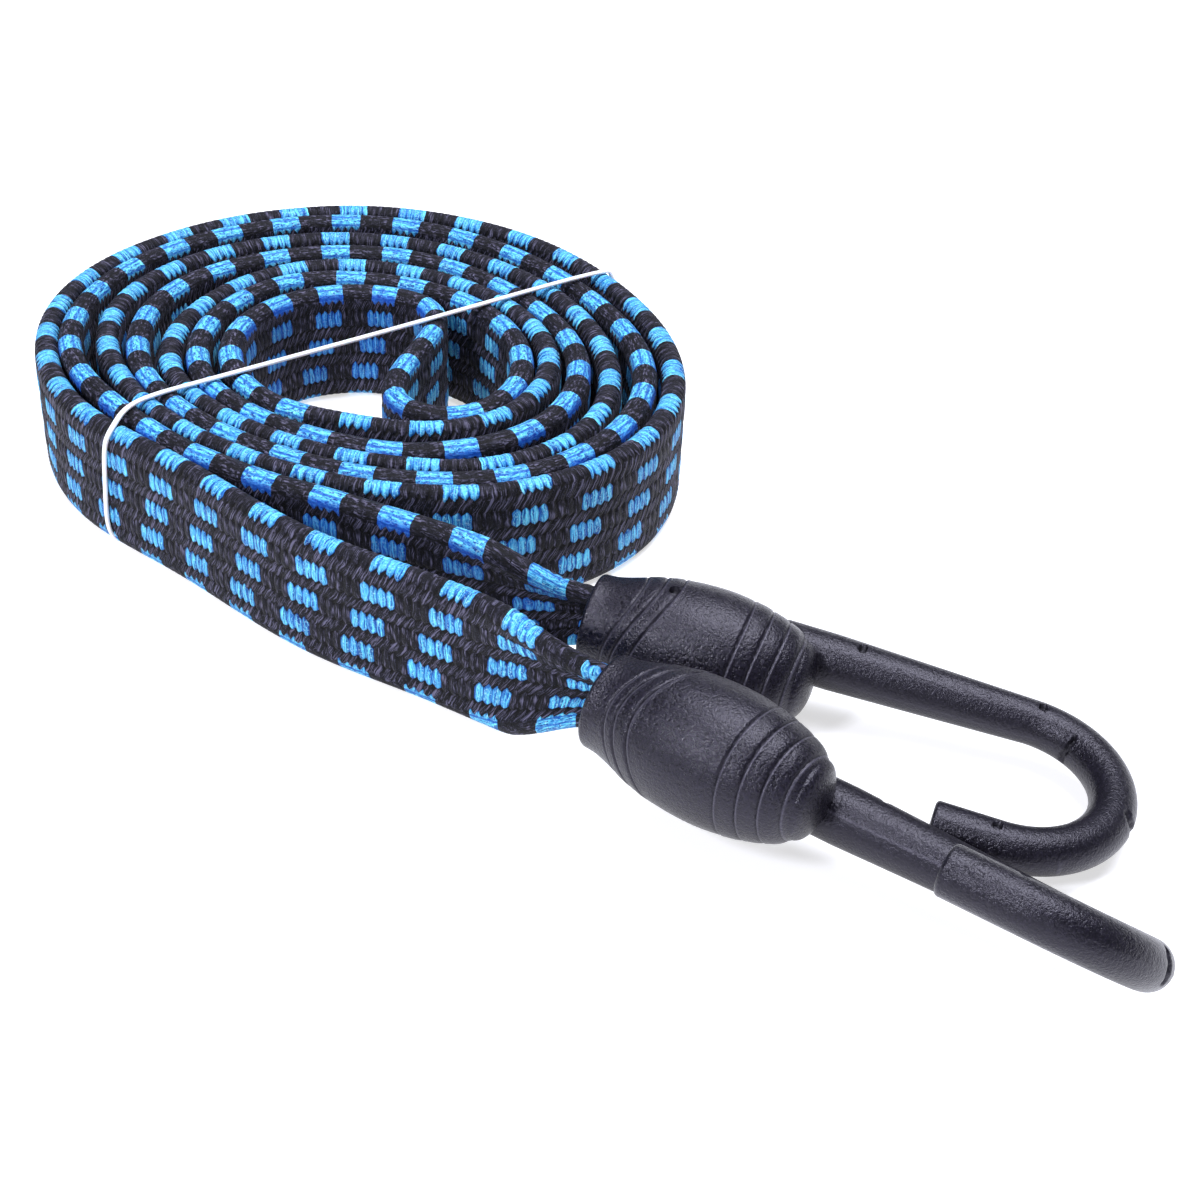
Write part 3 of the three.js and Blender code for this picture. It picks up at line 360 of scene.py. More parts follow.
def grid_object(name, pts, close_v=True, flip=False, normals=None, uv=None):
    """A mesh object from an n by m grid of points in mm."""
    n, m = pts.shape[:2]
    me = bpy.data.meshes.new(name)
    idx = np.arange(n * m).reshape(n, m)
    nx = np.roll(idx, -1, 1)
    cols = slice(None) if close_v else slice(0, m - 1)
    quads = np.stack([idx[:-1, cols], idx[1:, cols], nx[1:, cols], nx[:-1, cols]], -1).reshape(-1, 4)
    if flip:
        quads = quads[:, ::-1]
    me.vertices.add(n * m)
    me.vertices.foreach_set("co", (pts.reshape(-1) * MM).astype(np.float32))
    me.loops.add(len(quads) * 4)
    me.loops.foreach_set("vertex_index", quads.reshape(-1).astype(np.int32))
    me.polygons.add(len(quads))
    me.polygons.foreach_set("loop_start", (np.arange(len(quads)) * 4).astype(np.int32))
    me.polygons.foreach_set("use_smooth", np.ones(len(quads), bool))
    if uv is not None:
        u, v = uv
        layer = me.uv_layers.new(name="strap")
        j = np.tile(np.arange(m), n - 1).reshape(n - 1, m)
        i = np.repeat(np.arange(n - 1), m).reshape(n - 1, m)
        v1 = (j + 1) / m
        v0 = j / m
        data = np.stack([np.stack([u[i], v0], -1), np.stack([u[i + 1], v0], -1), np.stack([u[i + 1], v1], -1), np.stack([u[i], v1], -1)], -2)
        data = data[:, cols].reshape(-1, 4, 2)
        if flip:
            data = data[:, ::-1]
        layer.data.foreach_set("uv", data.reshape(-1).astype(np.float32))
    me.update()
    me.validate()
    if normals is not None:
        me.normals_split_custom_set_from_vertices(normals.reshape(-1, 3).tolist())
    ob = bpy.data.objects.new(name, me)
    scene.collection.objects.link(ob)
    return ob


def strap_piece(name, s0, s1):
    """The stretch of strap between two lengths along the route."""
    i0, i1 = int(np.searchsorted(S, s0)), int(np.searchsorted(S, s1))
    i1 = min(i1, len(S) - 1)
    sl = slice(i0, i1 + 1)
    ob = grid_object(name, GRID[sl], flip=FLIP, normals=NORMAL[sl], uv=(PH[sl] - math.floor(PH[i0] / 8) * 8, VV))
    first = ob.data.attributes.new("first_half", "FLOAT", "POINT")   # which edge of the weave is uppermost
    first.data.foreach_set("value", np.repeat((S[sl] < ROUTE_L / 2).astype(np.float32), ROUND))
    return ob


# ------------------------------------------------------------------ shader sums written as arithmetic
class Val:
    def __init__(self, tree, socket):
        self.tree, self.socket = tree, socket

    def op(self, kind, *others, clamp=False):
        n = self.tree.nodes.new("ShaderNodeMath")
        n.operation = kind
        n.use_clamp = clamp
        for i, x in enumerate((self,) + others):
            if isinstance(x, Val):
                self.tree.links.new(x.socket, n.inputs[i])
            else:
                n.inputs[i].default_value = float(x)
        return Val(self.tree, n.outputs[0])

    def __add__(self, o): return self.op("ADD", o)
    __radd__ = __add__
    def __sub__(self, o): return self.op("SUBTRACT", o)
    def __rsub__(self, o): return (self * -1) + o
    def __mul__(self, o): return self.op("MULTIPLY", o)
    __rmul__ = __mul__
    def __truediv__(self, o): return self.op("DIVIDE", o)
    def __pow__(self, o): return self.op("POWER", o)
    def floor(self): return self.op("FLOOR")
    def round(self): return (self + 0.5).floor()
    def abs(self): return self.op("ABSOLUTE")
    def max(self, o): return self.op("MAXIMUM", o)
    def min(self, o): return self.op("MINIMUM", o)
    def cos(self): return self.op("COSINE")
    def sin(self): return self.op("SINE")
    def sqrt(self): return self.op("SQRT")
    def gt(self, o): return self.op("GREATER_THAN", o)
    def lt(self, o): return self.op("LESS_THAN", o)
    def mod(self, o): return self.op("FLOORED_MODULO", o)
    def sat(self): return self.op("ADD", 0.0, clamp=True)


class Mat:
    """A principled material and short calls that add nodes to it."""

    def __init__(self, name):
        self.m = bpy.data.materials.new(name)
        self.m.use_nodes = True
        self.t = self.m.node_tree
        self.b = self.t.nodes["Principled BSDF"]

    def new(self, kind, **props):
        n = self.t.nodes.new("ShaderNode" + kind)
        for k, v in props.items():
            setattr(n, k, v)
        return n

    def link(self, a, b):
        self.t.links.new(a.socket if isinstance(a, Val) else a, b)

    def val(self, socket):
        return Val(self.t, socket)

    def vec(self, x, y, z=0.0):
        n = self.new("CombineXYZ")
        for i, s in enumerate((x, y, z)):
            if isinstance(s, Val):
                self.link(s, n.inputs[i])
            else:
                n.inputs[i].default_value = s
        return n.outputs[0]

    def noise(self, vec, scale, detail=2.0, rough=0.5, dist=0.0):
        n = self.new("TexNoise")
        self.t.links.new(vec, n.inputs["Vector"])
        n.inputs["Scale"].default_value = scale
        n.inputs["Detail"].default_value = detail
        n.inputs["Roughness"].default_value = rough
        n.inputs["Distortion"].default_value = dist
        return Val(self.t, n.outputs[0])

    def rand(self, vec):
        n = self.new("TexWhiteNoise", noise_dimensions="3D")
        self.t.links.new(vec, n.inputs["Vector"])
        return Val(self.t, n.outputs[0])

    def mix(self, fac, a, b):
        n = self.new("Mix", data_type="RGBA")
        if isinstance(fac, Val):
            self.link(fac, n.inputs[0])
        else:
            n.inputs[0].default_value = fac
        for i, c in ((6, a), (7, b)):
            if isinstance(c, (tuple, list)):
                n.inputs[i].default_value = (*c, 1)
            else:
                self.t.links.new(c, n.inputs[i])
        return n.outputs[2]

    def bump(self, height, distance, strength=1.0, normal=None):
        n = self.new("Bump")
        self.link(height, n.inputs["Height"])
        n.inputs["Distance"].default_value = distance
        n.inputs["Strength"].default_value = strength
        if normal is not None:
            self.t.links.new(normal, n.inputs["Normal"])
        return n.outputs[0]

    def coord(self):
        return self.new("TexCoord").outputs["Object"]


def lin(h):
    """Linear colour of a hex colour."""
    c = [int(h[i:i + 2], 16) / 255 for i in (1, 3, 5)]
    return tuple(x / 12.92 if x < 0.04045 else ((x + 0.055) / 1.055) ** 2.4 for x in c)


def weave_material(name="strap_weave"):
    M = Mat(name)
    uvn = M.new("UVMap", uv_map="strap")
    sep = M.new("SeparateXYZ")
    M.t.links.new(uvn.outputs[0], sep.inputs[0])
    u, v = M.val(sep.outputs[0]), M.val(sep.outputs[1])
    u8, p = u * 8, v * 8 + 0.03
    q = p.mod(4) - 2
    rv = p - q + (q.gt(0) * 2 - 1) * (q.abs() / 0.92).min((q.abs() - 1.25) * 0.855 + 1.359)
    obj = M.coord()
    wob = (M.noise(obj, 700, 1.0) - 0.5) * 0.40        # yarns don't lie quite evenly
    u8 = u8 + wob
    row = rv.round()
    dr = rv - row
    de = (rv + 2).mod(4) - 2                           # from the nearest edge of the strap
    ce = de.abs()
    gap = rv.floor() + 0.5
    dl = rv - gap
    half = M.new("Attribute", attribute_name="first_half")
    first = M.val(half.outputs["Fac"]).gt(0.5)
    upper = (rv + 2).mod(8).lt(4)
    leafy = upper * first + (1 - upper) * (1 - first)
    x = u8 - row - (row.mod(4) - 2) * 0.3 + dr * 0.12
    xe = u8 - (rv - de) + de * 0.12
    y = u8 - gap - dl * 2.3
    rid = M.rand(M.vec(x.floor(), row, 3.1))
    lid = M.rand(M.vec(y.floor(), rv.floor(), 7.7))

    def lens(p, q, w=0.86):
        f = ((p - p.floor() - 0.5) * 2).abs() * w + q
        return (1 - f * f).max(0).sqrt()
    side = rv.mod(8).lt(4) * 2 - 1                     # each leaf has a point upwards and a blunt foot
    is_up = (dr * side).lt(0)
    tip = (dr.abs() / (rid * 0.05 + 0.34)) ** 3.0
    foot = (dr.abs() / 0.30) ** 5
    R = lens(x, tip * is_up + foot * (1 - is_up), 0.88) * row.mod(4).gt(0.5)
    cord = de * 4.6
    cf = (cord - cord.round()) * 2
    ridge = (1 - cf * cf * 0.75).max(0).sqrt()
    k = ((ce - 0.34) / 0.08).sat()
    tooth = lens(xe, (ce / (rid * 0.05 + 0.47)) ** 6)
    Ec = ((1 - k) * (ridge * 0.38 + 0.62) * (lens(xe, 0.0) * 0.14 + 0.86) + k * tooth) * ce.lt(0.52)
    k2 = ((ce - 0.08) / 0.12).sat()
    lobe = lens(xe, (ce / (rid * 0.06 + 0.35)) ** 4)
    El = ((1 - k2) * (lens(xe, 0.0) * 0.26 + 0.74) + k2 * lobe) * ce.lt(0.41)
    E = El * leafy + Ec * (1 - leafy)
    L = lens(y, (dl / 0.28) * (dl / 0.28)) * 0.70
    top_r = R.max(E).gt(L)
    on_edge = E.gt(R)
    corded = on_edge * (1 - leafy)
    xt = xe * on_edge + x * (1 - on_edge)
    h = R.max(E).max(L)
    blue = top_r * (xt + 2).mod(8).lt(4 - on_edge * 0.35) * R.max(E).gt(0.06)
    # filaments along each yarn: across the strap on its faces, more lengthways over the edges
    fil_r = M.noise(M.vec(xt * 6, rv * 1.6, rid * 9), 1.0, 3.0, 0.65)
    fil_l = M.noise(M.vec(y * 6, rv * 1.6, lid * 9), 1.0, 3.0, 0.65)
    fil_e = M.noise(M.vec(xt * 1.3, rv * 22, rid * 9), 1.0, 3.0, 0.65)
    near_e = (1 - k) * on_edge * (corded * 0.8 + 0.2)
    fil = (fil_r * top_r + fil_l * (1 - top_r)) * (1 - near_e) + fil_e * near_e
    rnd = rid * top_r + lid * (1 - top_r)
    fuzz = M.noise(obj, 3300, 2.0, 0.7)
    cloud = M.noise(obj, 60, 2.0)
    # painted highlight streaks along the yarn filaments
    lit = ((fil - 0.36) * 2.6).sat()
    # painted shading: stitches lighter where they stand high and along the painted highlight streaks, plus a random
    # tone per stitch
    tone_and_painted_shade = (h * 0.5 + lit * 0.7 + rnd * 0.25 - 0.35).sat()
    # painted glints on raised stitches, from fine noise
    glint = ((fuzz - 0.52) * 5).sat() * ((h - 0.35) * 2).sat()
    crease = ((cf.abs() - 0.62) * 4).sat() * near_e * corded
    # black yarn, lighter with the painted shading
    black = M.mix(tone_and_painted_shade, lin("#010105"), lin("#0a0a17"))
    # painted glints: the dull yarns show short pale painted highlight flecks, about two to a stitch
    glint_fleck = ((rv * 2.15 + rid * 0.8 + x * 0.5) * 6.2832).cos() * 0.5 + 0.5
    spark = ((fil - 0.50) * 8).sat() * ((h - 0.30) * 3).sat() * (1 - top_r * (1 - glint_fleck) * 0.9)
    # painted glints: fine random pale specks on the black yarn
    glint_speck = ((fuzz - 0.58) * 9).sat() * (1 - top_r * 0.35)
    # painted glints on the black yarn
    black = M.mix(spark * 0.62, black, lin("#7d7a99"))
    black = M.mix(glint_speck * 0.28, black, lin("#757392"))
    black = M.mix(cloud * 0.15, black, lin("#0a0a12"))
    # blue yarn, lighter with the painted shading
    deep = M.mix(tone_and_painted_shade, lin("#021a66"), lin("#0c78d4"))
    # painted highlight: pale cyan on the raised, streak-lit parts of the blue stitches
    azure = M.mix((lit * 1.7 - 0.25).sat() * (h * 1.7 - 0.60).sat(), deep, lin("#70e2ff"))
    # painted glints on the blue yarn
    azure = M.mix(glint * 0.6, azure, lin("#b8f6ff"))
    azure = M.mix(rnd * 0.12, azure, lin("#0c66b8"))
    # painted shade: on the face turned away from the light the blue is painted a deep royal shade
    inner = rv.mod(8).gt(4.5) * (1 - on_edge)
    azure = M.mix(inner * 0.45, azure, M.mix(tone_and_painted_shade, lin("#03186a"), lin("#0c4fd8")))
    # painted shade: the lower side of the corded edge, shaded by the next layer, painted deep royal blue
    azure = M.mix(corded * upper * ((de * -1 - 0.16) * 9).sat() * 0.75, azure, M.mix(tone_and_painted_shade, lin("#041c78"), lin("#0a44d6")))
    col = M.mix(blue, black, azure)
    # painted shade in the seams down between stitches and along the cords of the edge, where the weave sinks
    col = M.mix(((0.34 - h) * 4).sat() * (0.9 - blue * 0.3), col, M.mix(blue, lin("#020203"), lin("#032a72")))
    xs = x * (1 - on_edge) + xe * on_edge
    # painted shade in the narrow gap between neighbouring stitches
    between = ((((xs - xs.floor() - 0.5) * 2).abs() - 0.80) * 7).sat() * top_r * (1 - corded)
    col = M.mix(between * 0.62, col, M.mix(blue, lin("#010102"), lin("#064fb4")))
    # painted shade in the creases between the cords of the edge
    col = M.mix(crease * 0.7, col, M.mix(blue, lin("#040406"), lin("#0848a8")))
    M.t.links.new(col, M.b.inputs["Base Color"])
    rough = (0.60 - blue * 0.16 + fuzz * 0.2 - rnd * 0.06).sat()
    M.link(rough, M.b.inputs["Roughness"])
    M.b.inputs["Sheen Weight"].default_value = 0.03
    M.b.inputs["Sheen Roughness"].default_value = 0.4
    M.b.inputs["Specular IOR Level"].default_value = 0.20
    n1 = M.bump(h, 0.00022, 0.8)
    n2 = M.bump(fil * 0.8 + fuzz * 0.6, 0.00022, 0.9, n1)
    M.t.links.new(n2, M.b.inputs["Normal"])
    return M.m


def plastic_material(name, dark, light, rough, grain):
    """Moulded nylon: fine even grain, faint flow clouding, paler where the surface is proud (partly rubbed wear, partly
    a painted highlight), and painted shade in pits and grooves.
    """
    M = Mat(name)
    o = M.coord()
    cloud = M.noise(o, 120, 3.0, 0.55)
    fine = M.noise(o, 2900, 2.0, 0.75)
    mid = M.noise(o, 1700, 2.0, 0.6)
    wear_and_highlight_node = M.new("Attribute", attribute_name="wear_and_highlight")
    wear_and_highlight = M.val(wear_and_highlight_node.outputs["Fac"])
    shaded_pit = M.new("Attribute", attribute_name="shaded_pit")
    shaded_pit = M.val(shaded_pit.outputs["Fac"])
    base = M.mix((cloud * 0.6 + (fine - 0.5) * 3.8).sat(), dark, light)
    # paler on ring edges and parting lines: partly wear, partly a painted highlight
    base = M.mix((wear_and_highlight * (mid * 0.8 + 0.5)).sat() * 0.5, base, lin("#6f6c7c"))
    # painted shade: near black in the pits, grooves and slots
    base = M.mix(shaded_pit.sat() * 0.9, base, lin("#060609"))
    M.t.links.new(base, M.b.inputs["Base Color"])
    M.link((rough + (fine - 0.5) * 0.22 + (cloud - 0.5) * 0.10 + shaded_pit * 0.2).sat(), M.b.inputs["Roughness"])
    M.b.inputs["Specular IOR Level"].default_value = 0.44
    M.b.inputs["Specular Tint"].default_value = (0.86, 0.83, 1.0, 1)
    n1 = M.bump(fine, 0.00013, grain)
    n2 = M.bump(mid, 0.00010, grain * 0.8, n1)
    M.t.links.new(n2, M.b.inputs["Normal"])
    return M.m


def tie_material():
    M = Mat("tie_plastic")
    o = M.coord()
    a, b = M.noise(o, 700, 2.0), M.noise(o, 4200, 2.0, 0.6)
    M.t.links.new(M.mix((a * 0.8 + b * 0.3 - 0.1).sat(), lin("#d9dbe2"), lin("#fbfbfd")), M.b.inputs["Base Color"])
    M.link((b * 0.25 + 0.34).sat(), M.b.inputs["Roughness"])
    M.b.inputs["Subsurface Weight"].default_value = 0.15
    M.b.inputs["Subsurface Scale"].default_value = 0.0006
    M.t.links.new(M.bump(b, 0.00005, 0.6), M.b.inputs["Normal"])
    return M.m


def steel_material(name, tint, rough):
    M = Mat(name)
    sep = M.new("SeparateXYZ")
    M.t.links.new(M.coord(), sep.inputs[0])
    sx, sy, sz = (M.val(sep.outputs[i]) for i in range(3))
    draw = M.noise(M.vec(sx * 300, sy * 6000, sz * 6000), 1.0, 3.0, 0.6)
    spots = M.noise(M.coord(), 260, 3.0)
    M.t.links.new(M.mix((draw * 0.8 + spots * 0.3 - 0.1).sat(), tuple(c * 0.6 for c in tint), tint), M.b.inputs["Base Color"])
    M.b.inputs["Metallic"].default_value = 1.0
    M.link((draw * 0.25 + rough).sat(), M.b.inputs["Roughness"])
    M.t.links.new(M.bump(draw, 0.00003, 0.5), M.b.inputs["Normal"])
    return M.m


def hidden_weave_material():
    """The strap's end inside the head, where no pattern is seen: plain ribbed weave."""
    M = Mat("folded_strap_weave")
    o = M.coord()
    w = M.new("TexWave", wave_type="BANDS", bands_direction="X")
    M.t.links.new(o, w.inputs["Vector"])
    w.inputs["Scale"].default_value = 380
    w.inputs["Distortion"].default_value = 2.0
    rib = M.val(w.outputs["Fac"])
    fz = M.noise(o, 2600, 2.0)
    M.t.links.new(M.mix((rib * 0.7 + fz * 0.4 - 0.1).sat(), lin("#121114"), lin("#403b40")), M.b.inputs["Base Color"])
    M.link((0.6 + fz * 0.3).sat(), M.b.inputs["Roughness"])
    M.t.links.new(M.bump(rib + fz * 0.3, 0.0002, 0.8), M.b.inputs["Normal"])
    return M.m


WEAVE = weave_material()
HEAD = plastic_material("head_plastic", lin("#050409"), lin("#171422"), 0.29, 1.0)
COAT = plastic_material("hook_plastic", lin("#040308"), lin("#120f1b"), 0.32, 0.9)
TIE = tie_material()
WIRE = steel_material("wire_steel", (0.56, 0.56, 0.58), 0.22)
CRIMP = steel_material("crimp_steel", (0.64, 0.64, 0.65), 0.30)
INNER = hidden_weave_material()


def dress(ob, mat):
    ob.data.materials.clear()
    ob.data.materials.append(mat)
    return ob


def attribute(ob, name, values):
    a = ob.data.attributes.new(name, "FLOAT", "POINT")
    a.data.foreach_set("value", np.asarray(values, np.float32).reshape(-1))


def weld(ob, dist=1e-7):
    bm = bmesh.new()
    bm.from_mesh(ob.data)
    bmesh.ops.remove_doubles(bm, verts=bm.verts, dist=dist)
    bmesh.ops.dissolve_degenerate(bm, edges=bm.edges, dist=1e-8)
    bmesh.ops.recalc_face_normals(bm, faces=bm.faces)
    for e in bm.edges:
        if len(e.link_faces) == 2 and e.calc_face_angle(0) > 0.75:
            e.smooth = False
    bm.to_mesh(ob.data)
    bm.free()
    return ob


# ------------------------------------------------------------------ heads
PROFILE = np.array([[-1.8, 0.0], [-1.7, 1.1], [-1.4, 2.3], [-0.9, 3.4], [-0.3, 4.35], [0.4, 5.25], [1.3, 6.05], [3.0, 6.95], [5.5, 7.8], [8.5, 8.5], [11.5, 8.9], [14.5, 8.95], [17.5, 8.75],
                    [20.5, 8.25], [23.5, 7.5], [26, 6.75], [27.3, 6.45], [29.1, 6.3], [29.5, 5.95]])
BODY = PROFILE[5:-1]
prof_m = natural_spline(BODY[:, 0], BODY[:, 1])
POCKET_R, POCKET_D = 5.35, 5.3
# incised rings: distance back from the nose plane and its swing round the head
NOSE_RINGS = ((1.15, 0.1, 0.25), (3.6, 0.1, 0.35), (6.1, 0.1, 0.4), (8.8, 0.0, 0.45))
MOUTH_RINGS = ((19.5, 1.4, 1.3), (21.9, 1.3, 1.3), (24.1, 0.7, 1.2))


def head_radius(a):
    inner = spline_at(BODY[:, 0], BODY[:, 1], prof_m, np.clip(a, 0.4, 29.1))
    t = np.clip((a + 1.8) / 2.2, 0, 1)            # nose closes as a quarter of an ellipse
    nose = 5.25 * np.sqrt(np.clip(1 - (1 - t) ** 2, 0, 1)) ** 0.97
    rim = np.sqrt(np.clip(1 - ((np.maximum(a, 28.9) - 28.9) / 0.6) ** 2, 0, 1))
    w = smooth((a + 0.5) / 1.6)
    return np.where(a < 0.4, nose * (1 - w) + np.minimum(nose, inner) * w, inner) - (1 - rim) * 0.6


def ring_at(ring, th):
    a0, one, two = ring
    return a0 + one * np.cos(th - 0.09) + two * np.cos(2 * (th - 0.09))


def head_mesh(tag):
    e = ENDS[tag]
    th = np.arange(192) / 192 * 2 * math.pi
    # lengthways stations: nose face, outside, rim, pocket wall, pocket floor
    out_a = np.r_[-1.8 + 2.3 * (1 - np.cos(np.linspace(0, math.pi / 2, 34))), np.linspace(0.6, 29.5, 270)]
    st = [(a, None) for a in out_a]
    end_r = float(head_radius(np.array([29.5]))[0])
    st += [(29.5, r) for r in np.linspace(end_r - 0.05, POCKET_R + 0.22, 4)]
    st += [(29.5 - 0.22 * (1 - math.cos(t)), POCKET_R + 0.22 * (1 - math.sin(t))) for t in np.linspace(0.3, math.pi / 2, 5)]
    st += [(a, POCKET_R) for a in np.linspace(29.0, HEAD_L - POCKET_D, 14)]
    st += [(HEAD_L - POCKET_D, r) for r in np.linspace(POCKET_R - 0.4, 0.0, 9)]
    n, m = len(st), len(th)
    A = np.array([s[0] for s in st])[:, None] + np.zeros((1, m))
    R = np.zeros((n, m))
    wear_and_highlight, shaded_pit = np.zeros((n, m)), np.zeros((n, m))
    outer = np.zeros(n, bool)
    for i, (a, r) in enumerate(st):
        if r is None:
            outer[i] = True
            R[i] = head_radius(np.array([a]))[0]
        else:
            R[i] = r
    TH = np.broadcast_to(th[None], (n, m))
    d = np.zeros((n, m))
    for ring in NOSE_RINGS + MOUTH_RINGS:
        g = A - ring_at(ring, TH)
        d -= 0.15 * np.exp(-(g / 0.13) ** 2)
        d += 0.05 * np.exp(-((g + 0.36) / 0.2) ** 2)
        # paler line beside each ring, stronger on one side of the head: partly wear, partly a painted highlight
        wear_and_highlight += 0.75 * np.exp(-((g + 0.27) / 0.11) ** 2) * (0.45 + 0.55 * np.cos(TH * 0.5 + 0.2) ** 2)
        # painted shade in each ring's groove
        shaded_pit += 0.6 * np.exp(-(g / 0.11) ** 2)
    # each band between two lines stands a little proud at its end nearer the nose, like a low step
    for group in (NOSE_RINGS, MOUTH_RINGS):
        for r0, r1 in zip(group[:-1], group[1:]):
            f = (A - ring_at(r0, TH)) / (ring_at(r1, TH) - ring_at(r0, TH))
            d += 0.10 * np.sin(np.clip(f, 0, 1) ** 0.7 * math.pi)
    # small round mark left by a core pin, with painted shade in its hollow
    w = np.hypot((A - 18.75) / 1.25, (np.angle(np.exp(1j * (TH + math.radians(90))))) * 8.5 / 1.15)
    d -= 1.1 * smooth((0.66 - w) / 0.22)
    shaded_pit += 1.2 * smooth((0.68 - w) / 0.16)
    R = np.where(outer[:, None], R + d, R)
    wear_and_highlight, shaded_pit = np.where(outer[:, None], wear_and_highlight, 0), np.where(outer[:, None], shaded_pit, 0)
    X, Y, Z, N = e["x"], e["y"], e["z"], e["nose"]
    dirv = -Y[None] * np.cos(th)[:, None] - Z[None] * np.sin(th)[:, None]
    pts = N + (-A[:, :, None] * X) + R[:, :, None] * dirv[None]
    ob = grid_object("barrel_" + tag, pts)
    attribute(ob, "wear_and_highlight", wear_and_highlight)
    attribute(ob, "shaded_pit", shaded_pit)
    return dress(weld(ob), HEAD)


# ------------------------------------------------------------------ hooks
SHANK_OFF, SHANK_L, BEND_R, LEG_L = 6.1, 29.6, 12.65, 8.4
HOOK_LEN = SHANK_L + math.pi * BEND_R + LEG_L


def hook_line(s):
    """Centre and in-plane outward normal at length s from the nose, in the head's frame."""
    s = np.asarray(s, float)
    c, n = np.zeros((len(s), 3)), np.zeros((len(s), 3))
    a = s < SHANK_L
    c[a, 0], n[a, 1] = s[a], 1
    c[a, 1] = 4.6 + (SHANK_OFF - 4.6) * smooth((s[a] + 8.5) / 4.5)
    b = (s >= SHANK_L) & (s < SHANK_L + math.pi * BEND_R)
    t = (s[b] - SHANK_L) / BEND_R
    c[b, 0], c[b, 1] = SHANK_L + BEND_R * np.sin(t), SHANK_OFF - BEND_R * (1 - np.cos(t))
    n[b, 0], n[b, 1] = np.sin(t), np.cos(t)
    g = s >= SHANK_L + math.pi * BEND_R
    c[g, 0], c[g, 1], n[g, 1] = SHANK_L - (s[g] - SHANK_L - math.pi * BEND_R), SHANK_OFF - 2 * BEND_R, -1
    return c, n


def coat_radius(s):
    s = np.asarray(s, float)
    root = 2.85 + (3.85 - 2.85) * smooth((s + 7) / 3)
    return np.where(s < 3, root, 3.02 + 0.83 * np.clip(1 - (s - 3) / 27, 0, None))


